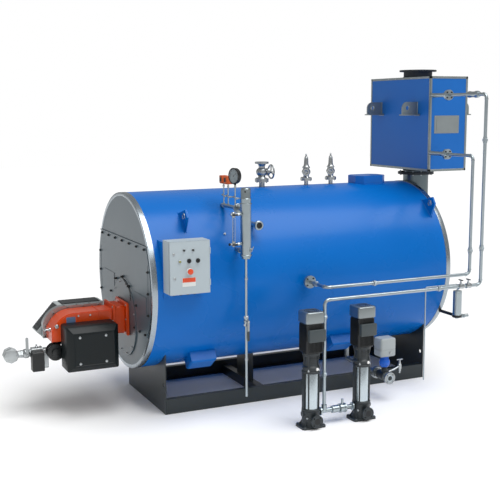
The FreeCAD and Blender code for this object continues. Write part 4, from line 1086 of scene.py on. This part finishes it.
# ---------------------------------------------------------------- blow-down
# A cast steel line from under the drum in silver paint: a bolted flange pair, a ball valve with a
# bright blue neck, and an open outlet flange. A pale moulded electric drive turns the valve.
dress("blowdown_valve", cast_silver)
blow_low, blow_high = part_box("blowdown_valve")
drive_low, drive_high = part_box("blowdown_actuator")
BLOW_X, BLOW_Z, NECK_Y = (blow_low.x + blow_high.x) / 2, blow_low.z + 0.063, -1.090
BLOW_JOINT = (-0.956, -0.924)
bm = bmesh.new()
bolt_circle(bm, (BLOW_X, BLOW_JOINT[1], BLOW_Z), Y, 0.046, 4, 0.009)
bolt_circle(bm, (BLOW_X, BLOW_JOINT[0], BLOW_Z), -Y, 0.046, 4, 0.009)
for i in range(6):
    a = math.radians(60 * i)
    turned(bm, (BLOW_X + 0.038 * math.cos(a), -1.1215, BLOW_Z + 0.038 * math.sin(a)), -Y,
           [(0, 0.006), (0.006, 0.006), (0.006, 0)], 6)
tap = Vector((BLOW_X + 0.165, NECK_Y - 0.035, 0.345))
swept(bm, [Vector((BLOW_X + 0.03, NECK_Y - 0.035, 0.300)), Vector((BLOW_X + 0.10, NECK_Y - 0.035, 0.318)),
           tap], 0.009)
turned(bm, tap - Z * 0.075, Z,
       [(0, 0), (0, 0.010), (0.020, 0.010), (0.022, 0.015), (0.045, 0.015), (0.047, 0.020), (0.095, 0.020),
        (0.100, 0.013), (0.125, 0.011), (0.150, 0.008), (0.150, 0)], 16)
swept(bm, [tap + Vector((-0.036, 0, 0.070)), tap + Vector((0.036, 0, 0.070))], 0.006)
piece("blowdown_bolts_and_tap", bm, zinc)
bm = bmesh.new()
turned(bm, (BLOW_X, -1.000, BLOW_Z), -Y,
       [(0, 0.046), (0.001, 0.050), (0.026, 0.050), (0.030, 0.047), (0.090, 0.047), (0.094, 0.050),
        (0.118, 0.050), (0.120, 0.044)], 40)
turned(bm, (BLOW_X, NECK_Y, BLOW_Z + 0.044), Z, [(0, 0.030), (0.004, 0.034), (0.046, 0.026), (0.055, 0.034),
                                                 (0.062, 0.034), (0.062, 0.02)], 32)
# The black disc inside the raised face is painted shade for the outlet's open bore.
turned(bm, (BLOW_X, blow_low.y - 0.0006, BLOW_Z), Y, [(0, 0.024), (0, 0)], 28)
piece("blowdown_ball_body_and_painted_bore_shade", bm, cast_black_and_bore_shade)
bm = bmesh.new()
turned(bm, (BLOW_X, blow_low.y, BLOW_Z), Y,
       [(0, 0.024), (-0.0015, 0.026), (-0.0015, 0.034), (0, 0.036)], 32)
piece("blowdown_raised_face", bm, drawn_stainless)
# A glossy blue moulding that shows as the one bright spot on the line.
signal_blue = painted("signal_blue_moulding", "#0A62D2", 0.34, peel_mm=4, peel=0.08)
bm = bmesh.new()
turned(bm, (BLOW_X, NECK_Y, 0.398), Z,
       [(-0.056, 0.018), (-0.048, 0.034), (-0.030, 0.050), (0, 0.0575), (0.030, 0.050), (0.046, 0.036),
        (0.050, 0.044), (0.062, 0.044), (0.064, 0.02)], 40)
piece("blowdown_blue_neck", bm, signal_blue)
# A pale moulded housing with a fine mould grain.
drive_grey = painted("pale_grey_moulding", "#A9B0B2", 0.40, peel_mm=3, peel=0.12)
drive_middle = (drive_low + drive_high) / 2
bm = bmesh.new()
moulded(bm, (drive_middle.x, drive_middle.y, 0.470), Z, X,
        (drive_high.x - drive_low.x, drive_high.y - drive_low.y),
        [(0, 0.014), (0.004, 0.006), (0.014, 0), (0.074, 0), (0.075, 0.0025), (0.079, 0.0025), (0.080, 0),
         (0.178, 0), (0.188, 0.004), (0.193, 0.010), (0.195, 0.022)], 0.024)
turned(bm, (BLOW_X, NECK_Y, 0.448), Z, [(0, 0.022), (0.010, 0.022), (0.012, 0.034), (0.024, 0.034)], 24)
drive = piece("blowdown_drive", bm, drive_grey, sharp_deg=40)
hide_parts("blowdown_actuator")
bm = bmesh.new()
for sx in (-0.076, 0.076):
    for sy in (-0.058, 0.058):
        turned(bm, (drive_middle.x + sx, drive_middle.y + sy, 0.662), Z,
               [(0, 0.007), (0.003, 0.006), (0.004, 0)], 12)
turned(bm, (drive_middle.x + 0.02, drive_low.y, 0.51), -Y,
       [(-0.004, 0.016), (0.004, 0.014), (0.010, 0.011), (0.010, 0)], 6)
piece("blowdown_drive_screws", bm, zinc)

# ---------------------------------------------------------------- sample cooler
# An upright stainless cooler with pressed end caps, on a black flat-bar arm from the drum's rear rim.
# A needle valve with a steel blade sits at its foot, and its thin tube runs down to the floor drain.
dress("sample_cooler", drawn_stainless)
COOLER_X, COOLER_Y = 3.190, -1.050
bm = bmesh.new()
turned(bm, (COOLER_X, COOLER_Y, 0.786), Z,
       [(0, 0.020), (0.004, 0.040), (0.010, 0.048), (0.020, 0.049), (0.021, 0.0475), (0.262, 0.0475),
        (0.263, 0.049), (0.273, 0.048), (0.280, 0.040), (0.286, 0.022), (0.288, 0.012), (0.300, 0.012),
        (0.300, 0.008)], 48)
turned(bm, (COOLER_X, COOLER_Y, 0.766), Z,
       [(0, 0), (0, 0.018), (0.003, 0.0215), (0.020, 0.0215), (0.023, 0.018)], 6)
turned(bm, (COOLER_X + 0.052, COOLER_Y, 0.780), X,
       [(0, 0.012), (0, 0.017), (0.024, 0.017), (0.024, 0.013), (0.028, 0.013), (0.030, 0.018),
        (0.052, 0.018), (0.054, 0.013), (0.054, 0.010)], 6)
slab(bm, (COOLER_X + 0.062, COOLER_Y - 0.008, 0.797), (COOLER_X + 0.150, COOLER_Y + 0.008, 0.801), 0.0015)
turned(bm, (COOLER_X + 0.072, COOLER_Y, 0.790), Z, [(0, 0.007), (0.015, 0.007), (0.015, 0)], 10)
piece("sample_cooler_shell", bm, drawn_stainless)
bm = bmesh.new()
slab(bm, (COOLER_X - 0.012, COOLER_Y + 0.046, 0.776), (COOLER_X + 0.012, -0.735, 0.805), 0.002)
turned(bm, (COOLER_X, COOLER_Y, 0.778), Z, [(0, 0.047), (0, 0.0515), (0.026, 0.0515), (0.026, 0.047)], 40)
piece("sample_cooler_arm", bm, black_nylon_and_hole_shade)

# ---------------------------------------------------------------- control panel
# A folded steel box in pale grey textured powder coat on two blue cheeks. Its door carries two locks,
# lamps, rotary switches and a stop button, and a blank label; inside are rails, breakers and ducts.
panel_coat = painted("textured_grey_powder_coat", "#AEBAC0", 0.48, peel_mm=2.5, peel=0.25, drift=0.05)
dress("control_panel", panel_coat)
dress("panel_door", panel_coat)
panel_low, panel_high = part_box("control_panel")
DOOR_Y, DOOR_T = -1.095, 0.020
bm = bmesh.new()
frame_x, frame_z = (panel_low.x, panel_high.x), (panel_low.z, panel_high.z)
for x in frame_x:
    inner, outer = sorted((x, x + (0.014 if x == frame_x[0] else -0.014)))
    slab(bm, (inner, panel_low.y, frame_z[0]), (outer, panel_low.y + 0.002, frame_z[1]), 0.0006, 1)
for z in frame_z:
    inner, outer = sorted((z, z + (0.014 if z == frame_z[0] else -0.014)))
    slab(bm, (frame_x[0], panel_low.y, inner), (frame_x[1], panel_low.y + 0.002, outer), 0.0006, 1)
piece("panel_box_lip", bm, panel_coat)
# Switchgear plastic: off-white and half matt.
plastic_white = painted("white_switchgear_plastic", "#D9DCDA", 0.4, peel_mm=2, peel=0.1)
back_y = panel_high.y - 0.012
RAIL_ROWS, DUCT_ROWS = (1.675, 1.530, 1.405), (1.745, 1.603, 1.462)
BREAKERS = ((9, 0.030), (6, 0.045), (18, 0.0155))
bm = bmesh.new()
for z, (count, width) in zip(RAIL_ROWS, BREAKERS):
    tall, deep = (0.075, 0.058) if width > 0.02 else (0.045, 0.038)
    for i in range(count):
        x = panel_low.x + 0.060 + i * width
        slab(bm, (x, back_y - 0.008 - deep, z - tall / 2),
             (x + width - 0.002, back_y - 0.008, z + tall / 2), 0.002)
        slab(bm, (x + width * 0.25, back_y - 0.014 - deep, z - 0.008),
             (x + width * 0.65, back_y - 0.006 - deep, z + 0.008), 0.001, 1)
piece("panel_breakers", bm, plastic_white)
bm = bmesh.new()
for z in RAIL_ROWS:
    slab(bm, (panel_low.x + 0.045, back_y - 0.0075, z - 0.0175), (panel_high.x - 0.045, back_y, z + 0.0175),
         0.001)
piece("panel_rails", bm, zinc)
bm = bmesh.new()
for z in DUCT_ROWS:
    slab(bm, (panel_low.x + 0.040, back_y - 0.040, z - 0.014), (panel_high.x - 0.040, back_y, z + 0.014),
         0.0015)
for x in row(panel_low.x + 0.060, panel_high.x - 0.060, 0.012):
    for z in DUCT_ROWS:
        slab(bm, (x, back_y - 0.041, z - 0.0145), (x + 0.004, back_y - 0.004, z + 0.0145), 0.0005, 1)
piece("panel_wiring_ducts", bm, terminal_grey)
bm = bmesh.new()
for x in (-0.05, 0.02, 0.09, 0.16):
    turned(bm, (x, -1.00, panel_low.z), -Z,
           [(0, 0.015), (0.006, 0.015), (0.006, 0.012), (0.022, 0.011), (0.025, 0.007), (0.025, 0)], 14)
piece("panel_glands", bm, black_nylon_and_hole_shade)

# The door's own fittings, from the row of lamps at the top to the bare label under the stop button.
door_x, door_z = frame_x, frame_z
bm = bmesh.new()
for x0, x1, z0, z1 in ((door_x[0], door_x[1], door_z[1] - 0.003, door_z[1] + 0.0005),
                       (door_x[0], door_x[1], door_z[0] - 0.0005, door_z[0] + 0.003),
                       (door_x[0] - 0.0005, door_x[0] + 0.003, door_z[0], door_z[1]),
                       (door_x[1] - 0.003, door_x[1] + 0.0005, door_z[0], door_z[1])):
    slab(bm, (x0, DOOR_Y - 0.0012, z0), (x1, DOOR_Y + 0.010, z1), 0.0011)
piece("door_folded_edge", bm, panel_coat, body="panel_door")
bm = bmesh.new()
for x, z in ((-0.077, 1.696), (-0.071, 1.467)):
    turned(bm, (x, DOOR_Y, z), -Y,
           [(0, 0.013), (0.003, 0.013), (0.005, 0.011), (0.005, 0.007), (0.001, 0.007), (0.001, 0)], 24)
    slab(bm, (x - 0.0035, DOOR_Y - 0.006, z - 0.0035), (x + 0.0035, DOOR_Y - 0.001, z + 0.0035), 0.0008)
LAMPS, SMALL_LAMP = ((0.024, 1.728), (0.113, 1.726)), (-0.019, 1.624)
KNOBS, STOP = ((0.074, 1.626), (0.162, 1.624)), (0.076, 1.5275)
for x, z in LAMPS + (SMALL_LAMP,):
    turned(bm, (x, DOOR_Y, z), -Y, [(0, 0.0145), (0.004, 0.0145), (0.006, 0.0125), (0.006, 0.009)], 24)
piece("door_locks_and_bezels", bm, zinc, body="panel_door")
# Lamp lenses are smooth plastic under a clear gloss, one pair smoked and one amber.
lamp_dark = painted("smoked_lamp_lens", "#1D2426", 0.15, peel_mm=4, peel=0.0, coat=0.5)
lamp_amber = painted("amber_lamp_lens", "#8C8A4A", 0.15, peel_mm=4, peel=0.0, coat=0.5)
lit = (("door_signal_lamps", LAMPS, lamp_dark), ("door_small_lamp", (SMALL_LAMP,), lamp_amber))
for name, places, lens in lit:
    bm = bmesh.new()
    for x, z in places:
        turned(bm, (x, DOOR_Y - 0.005, z), -Y,
               [(0, 0.0112), (0.006, 0.0112), (0.010, 0.009), (0.0125, 0.005), (0.013, 0)], 24)
    piece(name, bm, lens, body="panel_door")
bm = bmesh.new()
for x, z in KNOBS:
    turned(bm, (x, DOOR_Y, z), -Y, [(0, 0.0215), (0.004, 0.0215), (0.006, 0.0185), (0.006, 0.016),
                                    (0.018, 0.0145), (0.020, 0.012), (0.020, 0)], 28)
    slab(bm, (x - 0.004, DOOR_Y - 0.029, z - 0.0145), (x + 0.004, DOOR_Y - 0.018, z + 0.0145), 0.0015)
piece("door_rotary_switches", bm, black_nylon_and_hole_shade, body="panel_door")
# The button is a smooth orange-red moulding.
stop_orange = painted("orange_red_button_moulding", "#D8481E", 0.35, peel_mm=4, peel=0.05)
bm = bmesh.new()
turned(bm, (STOP[0], DOOR_Y - 0.012, STOP[1]), -Y,
       [(0, 0.014), (0.008, 0.014), (0.010, 0.026), (0.018, 0.028), (0.024, 0.026), (0.027, 0.018),
        (0.028, 0)], 36)
slab(bm, (0.006, DOOR_Y - 0.0022, 1.425), (0.136, DOOR_Y, 1.468), 0.0008)
piece("door_stop_button_and_label", bm, stop_orange, body="panel_door")
bm = bmesh.new()
turned(bm, (STOP[0], DOOR_Y, STOP[1]), -Y, [(0, 0.031), (0.006, 0.031), (0.012, 0.026), (0.012, 0.013)], 36)
slab(bm, (0.004, DOOR_Y - 0.0015, 1.385), (0.138, DOOR_Y, 1.470), 0.0007)
piece("door_button_collar_and_plate", bm, plastic_white, body="panel_door")
bm = bmesh.new()
for x, z in LAMPS + KNOBS + (SMALL_LAMP, STOP):
    turned(bm, (x, DOOR_Y + DOOR_T, z), Y,
           [(0, 0.0145), (0.010, 0.0145), (0.012, 0.012), (0.040, 0.012), (0.040, 0)], 16)
piece("door_switch_backs", bm, black_nylon_and_hole_shade, body="panel_door")
bm = bmesh.new()
for x in (door_x[0] + 0.006, door_x[1] - 0.013):
    slab(bm, (x, DOOR_Y + DOOR_T - 0.0005, door_z[0] + 0.006),
         (x + 0.007, DOOR_Y + DOOR_T + 0.003, door_z[1] - 0.006), 0.001, 1)
for z in (door_z[0] + 0.006, door_z[1] - 0.013):
    slab(bm, (door_x[0] + 0.006, DOOR_Y + DOOR_T - 0.0005, z),
         (door_x[1] - 0.006, DOOR_Y + DOOR_T + 0.003, z + 0.007), 0.001, 1)
piece("door_gasket", bm, black_nylon_and_hole_shade, body="panel_door")

# ---------------------------------------------------------------- water column and drain
# A length of satin stainless tube with a screwed cap, clamp rings and welded branches. Its drain falls
# to the floor gully through a ball valve whose flat steel lever hangs down the pipe when open.
COLUMN = Vector((0.678, -1.045, 1.597))
satin_column = bare("brushed_stainless_tube", "#A6B1B5", 0.30, 2.5, stretch=(1, 1, 0.06), relief=0.06)
bm = bmesh.new()
turned(bm, COLUMN, Z, [(0, 0.013), (0, 0.040), (0.003, 0.044), (0.018, 0.044), (0.021, 0.051),
                       (0.028, 0.052), (0.029, 0.056), (0.032, 0.058), (0.039, 0.058), (0.042, 0.056),
                       (0.043, 0.052), (0.523, 0.052), (0.524, 0.057), (0.527, 0.0585), (0.534, 0.0585),
                       (0.537, 0.057), (0.538, 0.052), (0.580, 0.052), (0.583, 0.049), (0.586, 0.048),
                       (0.660, 0.048), (0.672, 0.046), (0.680, 0.040), (0.683, 0.030), (0.683, 0)], 56)
swept(bm, [Vector((COLUMN.x, COLUMN.y + 0.04, 1.660)), Vector((COLUMN.x, -0.815, 1.660))], 0.020, 24)
collar(bm, (COLUMN.x, COLUMN.y + 0.060, 1.660), Y, 0.020)
collar(bm, (COLUMN.x, COLUMN.y + 0.150, 1.660), Y, 0.020, 0.030, 0.008)
for z in (1.745, 2.030):
    collar(bm, (COLUMN.x - 0.054, COLUMN.y, z), X, 0.012, 0.012, 0.005)
column_body = piece("water_column_tube", bm, satin_column)
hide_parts("water_column")
bm = bmesh.new()
towards = Vector((-0.5, -0.86, 0)).normalized()
turned(bm, COLUMN + Z * 0.648, towards, [(0.044, 0.009), (0.056, 0.009), (0.056, 0)], 6)
piece("column_vent_plug", bm, black_oxide_and_bore_shade)
bm = bmesh.new()
cock_way = Vector((0.6, -0.8, 0)).normalized()
turned(bm, COLUMN + Z * 0.096, cock_way,
       [(0.050, 0.010), (0.062, 0.010), (0.064, 0.007), (0.074, 0.007), (0.074, 0)], 12)
cock = COLUMN + Z * 0.096 + cock_way * 0.070
swept(bm, [cock - Z * 0.026 - X * 0.012, cock + Z * 0.026 + X * 0.012], 0.005)
piece("column_test_cock", bm, zinc)
dress("drain_pipe", drawn_stainless)
dress("drain_lever", lever_steel)
drain_low, drain_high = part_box("drain_lever")
DRAIN_Z = 0.985
bm = bmesh.new()
for side in (-1, 1):
    turned(bm, (COLUMN.x, COLUMN.y, DRAIN_Z + side * 0.026), Z * side,
           [(0, 0.022), (0.002, 0.0245), (0.022, 0.0245), (0.024, 0.022), (0.024, 0.013)], 6)
turned(bm, (COLUMN.x, COLUMN.y, DRAIN_Z), -Y,
       [(0.020, 0.016), (0.030, 0.016), (0.031, 0.011), (0.042, 0.010), (0.042, 0)], 12)
for z in (1.40, 0.60):
    collar(bm, (COLUMN.x, COLUMN.y, z), Z, 0.0125, 0.024, 0.005)
piece("drain_valve_ends", bm, zinc)
bm = bmesh.new()
turned(bm, (COLUMN.x, drain_low.y + 0.0002, DRAIN_Z), -Y,
       [(0, 0.0095), (0.005, 0.0095), (0.006, 0.008), (0.006, 0)], 6)
piece("drain_lever_nut", bm, zinc, body="drain_lever")
# The lever is dipped in dark vinyl, which is smooth and soft-looking.
grip_sleeve = painted("dark_dipped_vinyl", "#3A4144", 0.45, peel_mm=5, peel=0.1)
bm = bmesh.new()
moulded(bm, (COLUMN.x, (drain_low.y + drain_high.y - 0.001) / 2, drain_low.z - 0.001), Z, X,
        (0.0255, 0.0095), [(0, 0.002), (0.002, 0), (0.095, 0), (0.097, 0.001)], 0.004)
piece("drain_lever_grip", bm, grip_sleeve, body="drain_lever")

# ---------------------------------------------------------------- gauge glass
# A level glass between two forged cocks on the column's side, behind two guard rods. Each cock has a
# drilled spindle and a small black hand grip.
GLASS_X, GLASS_Z = COLUMN.x - 0.130, (1.745, 2.030)
bm = bmesh.new()
for z, face in ((GLASS_Z[0], 1), (GLASS_Z[1], -1)):
    swept(bm, [Vector((GLASS_X - 0.030, COLUMN.y, z)), Vector((COLUMN.x - 0.046, COLUMN.y, z))], 0.011, 16)
    turned(bm, (GLASS_X, COLUMN.y, z), Z * face,
           [(-0.024, 0), (-0.024, 0.012), (-0.016, 0.019), (0.012, 0.019), (0.013, 0.016), (0.028, 0.016),
            (0.029, 0.0105)], 20)
    turned(bm, (GLASS_X + 0.040, COLUMN.y, z), X,
           [(0, 0.011), (0.001, 0.017), (0.020, 0.017), (0.021, 0.011)], 6)
    swept(bm, [Vector((GLASS_X, COLUMN.y, z)), Vector((GLASS_X, COLUMN.y - 0.040, z))], 0.007)
for side in (-1, 1):
    swept(bm, [Vector((GLASS_X + side * 0.014, COLUMN.y - 0.010, z))
               for z in (GLASS_Z[0] + 0.01, GLASS_Z[1] - 0.01)], 0.0022, 8)
glass_cocks = piece("gauge_glass_cocks", bm, silver_valve)
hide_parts("gauge_glass")
bm = bmesh.new()
for z in GLASS_Z:
    grip = Vector((GLASS_X, COLUMN.y - 0.040, z))
    turned(bm, grip + X * 0.028, -X, [(0, 0.005), (0.004, 0.008), (0.024, 0.0095), (0.032, 0.0095),
                                      (0.052, 0.008), (0.056, 0.005), (0.056, 0)], 14)
turned(bm, (GLASS_X - 0.030, COLUMN.y, GLASS_Z[0]), -X,
       [(0, 0.008), (0.008, 0.013), (0.016, 0.013), (0.018, 0)], 16)
piece("gauge_glass_grips", bm, black_nylon_and_hole_shade)
# Borosilicate glass, clear with the slight waviness of a drawn tube.
level_glass, shader = blank("borosilicate_level_glass")
shader.inputs["Base Color"].default_value = linear("#DCE8EA")
shader.inputs["Transmission Weight"].default_value = 1.0
shader.inputs["IOR"].default_value = 1.47
ripple = add(level_glass, "TexNoise",
             {"Vector": add(level_glass, "TexCoord", {}).outputs["Object"], "Scale": 90.0})
smooth = add(level_glass, "MapRange", {"Value": ripple.outputs["Fac"], "To Min": 0.02, "To Max": 0.07})
level_glass.node_tree.links.new(smooth.outputs["Result"], shader.inputs["Roughness"])
bm = bmesh.new()
turned(bm, (GLASS_X, COLUMN.y, GLASS_Z[0] + 0.010), Z,
       [(0, 0.0055), (0, 0.0085), (0.265, 0.0085), (0.265, 0.0055), (0, 0.0055)], 20)
piece("gauge_glass_tube", bm, level_glass)

# ---------------------------------------------------------------- steam branch and instruments
# A stainless branch bends off the drum's shoulder to the column through a bolted flange pair. Three
# pigtail siphons rise from it and carry two orange pressure switches and a black dial gauge.
BRANCH_Z, STALKS = 2.066, ((-0.520, 2.285), (-0.630, 2.285), (-0.800, 2.296))
bm = bmesh.new()
swept(bm, bent([(COLUMN.x, -0.455, 2.025), (COLUMN.x, -0.455, BRANCH_Z),
                (COLUMN.x, COLUMN.y + 0.045, BRANCH_Z)], 0.036), 0.019, 24)
collar(bm, (COLUMN.x, -0.515, BRANCH_Z), Y, 0.019)
collar(bm, (COLUMN.x, COLUMN.y + 0.062, BRANCH_Z), Y, 0.019)
turned(bm, (COLUMN.x, -0.850, BRANCH_Z), -Y,
       [(0, 0.019), (0, 0.046), (0.002, 0.048), (0.012, 0.048), (0.0135, 0.046), (0.0145, 0.046),
        (0.016, 0.048), (0.026, 0.048), (0.028, 0.046), (0.028, 0.019)], 40)
turned(bm, (COLUMN.x, -0.455, 2.010), Z, [(0, 0.028), (0.016, 0.022), (0.020, 0.0195)], 28)
for y, top in STALKS:
    coil_r, foot, crown = 0.030, BRANCH_Z + 0.085, BRANCH_Z + 0.112
    coil = [Vector((COLUMN.x + coil_r * math.sin(a), y - coil_r + coil_r * math.cos(a), foot
                    + (crown - foot) * i / 30)) for i, a in ((i, 2 * math.pi * i / 30) for i in range(31))]
    swept(bm, [Vector((COLUMN.x, y, BRANCH_Z)), Vector((COLUMN.x, y, foot - 0.02))] + coil
          + [Vector((COLUMN.x, y, crown + 0.02)), Vector((COLUMN.x, y, top))], 0.0068, 10)
    turned(bm, (COLUMN.x, y, BRANCH_Z + 0.015), Z, [(0, 0.012), (0.012, 0.012), (0.013, 0.006)], 12)
branch = piece("steam_branch_and_siphons", bm, drawn_stainless)
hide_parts("instrument_manifold")
bm = bmesh.new()
bolt_circle(bm, (COLUMN.x, -0.850, BRANCH_Z), Y, 0.034, 4, 0.0065)
bolt_circle(bm, (COLUMN.x, -0.878, BRANCH_Z), -Y, 0.034, 4, 0.0065)
for y, top in STALKS:
    turned(bm, (COLUMN.x, y, top - 0.034), Z,
           [(0, 0.006), (0.001, 0.013), (0.018, 0.013), (0.019, 0.009), (0.034, 0.009)], 6)
piece("steam_branch_nuts", bm, zinc)
# Painted die-cast covers: orange, half matt.
switch_orange = painted("orange_switch_cover", "#C4551F", 0.42, peel_mm=4, peel=0.1)
bm = bmesh.new()
for y, top in STALKS[:2]:
    moulded(bm, (COLUMN.x, y, top), Z, X, (0.072, 0.068),
            [(0, 0.006), (0.003, 0.003), (0.012, 0.003), (0.013, 0), (0.074, 0), (0.079, 0.003),
             (0.081, 0.010)], 0.008)
switches = piece("pressure_switch_covers", bm, switch_orange, sharp_deg=40)
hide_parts("pressure_switches")
bm = bmesh.new()
for y, top in STALKS[:2]:
    slab(bm, (COLUMN.x - 0.038, y - 0.022, top + 0.022), (COLUMN.x - 0.035, y + 0.022, top + 0.060), 0.001)
    turned(bm, (COLUMN.x + 0.036, y, top + 0.020), X,
           [(0, 0.009), (0.010, 0.009), (0.014, 0.006), (0.014, 0)], 12)
piece("pressure_switch_windows", bm, black_nylon_and_hole_shade)
FACING = Vector((-math.cos(math.radians(15)), -math.sin(math.radians(15)), 0))
gauge_at = Vector((COLUMN.x, STALKS[2][0], 2.376))
bm = bmesh.new()
turned(bm, gauge_at - FACING * 0.023, FACING,
       [(0, 0), (0, 0.064), (0.004, 0.074), (0.012, 0.077), (0.036, 0.077), (0.038, 0.0795), (0.044, 0.080),
        (0.046, 0.077), (0.046, 0.070), (0.040, 0.069), (0.040, 0.067)], 64)
turned(bm, (COLUMN.x, STALKS[2][0], 2.286), Z,
       [(0, 0), (0, 0.012), (0.014, 0.012), (0.015, 0.009), (0.020, 0.009)], 6)
gauge_case = piece("gauge_case", bm, actuator_black)
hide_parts("pressure_gauge")
# The dial is matt white print on metal.
dial_white = painted("printed_dial_white", "#C9CECF", 0.5, peel_mm=5, peel=0.0)
bm = bmesh.new()
turned(bm, gauge_at + FACING * 0.0145, FACING, [(0, 0.069), (0.001, 0.069), (0.001, 0)], 64)
piece("gauge_dial", bm, dial_white)
dial_right = FACING.cross(Z).normalized()
bm = bmesh.new()


def on_dial(degrees, radius, lift=0.0162):
    """A point over the dial; degrees run clockwise from the top."""
    a = math.radians(degrees)
    return gauge_at + FACING * lift + Z * radius * math.cos(a) + dial_right * radius * math.sin(a)


for i in range(33):
    degrees = -135 + 270 * i / 32
    long_mark = i % 4 == 0
    swept(bm, [on_dial(degrees, 0.050 if long_mark else 0.056), on_dial(degrees, 0.062)],
          0.0011 if long_mark else 0.0006, 6)
swept(bm, [on_dial(-50 + 180, 0.014, 0.018), on_dial(-50, 0.050, 0.018)], 0.0014, 6)
turned(bm, gauge_at + FACING * 0.0155, FACING, [(0, 0.006), (0.004, 0.005), (0.004, 0)], 16)
piece("gauge_marks_and_pointer", bm, black_nylon_and_hole_shade)
bm = bmesh.new()
turned(bm, gauge_at + FACING * 0.0200, FACING, [(0, 0.0685), (0.0015, 0.0685), (0.0015, 0)], 64)
piece("gauge_window", bm, level_glass)

# ---------------------------------------------------------------- jacket stud
# One zinc-plated earthing stud with its nut, welded through the jacket sheet between the control
# panel and the water column.
STUD_DEG = -55
bm = bmesh.new()
nut(bm, on_drum(0.59, STUD_DEG), away(STUD_DEG), 0.012)
piece("earthing_stud", bm, zinc)
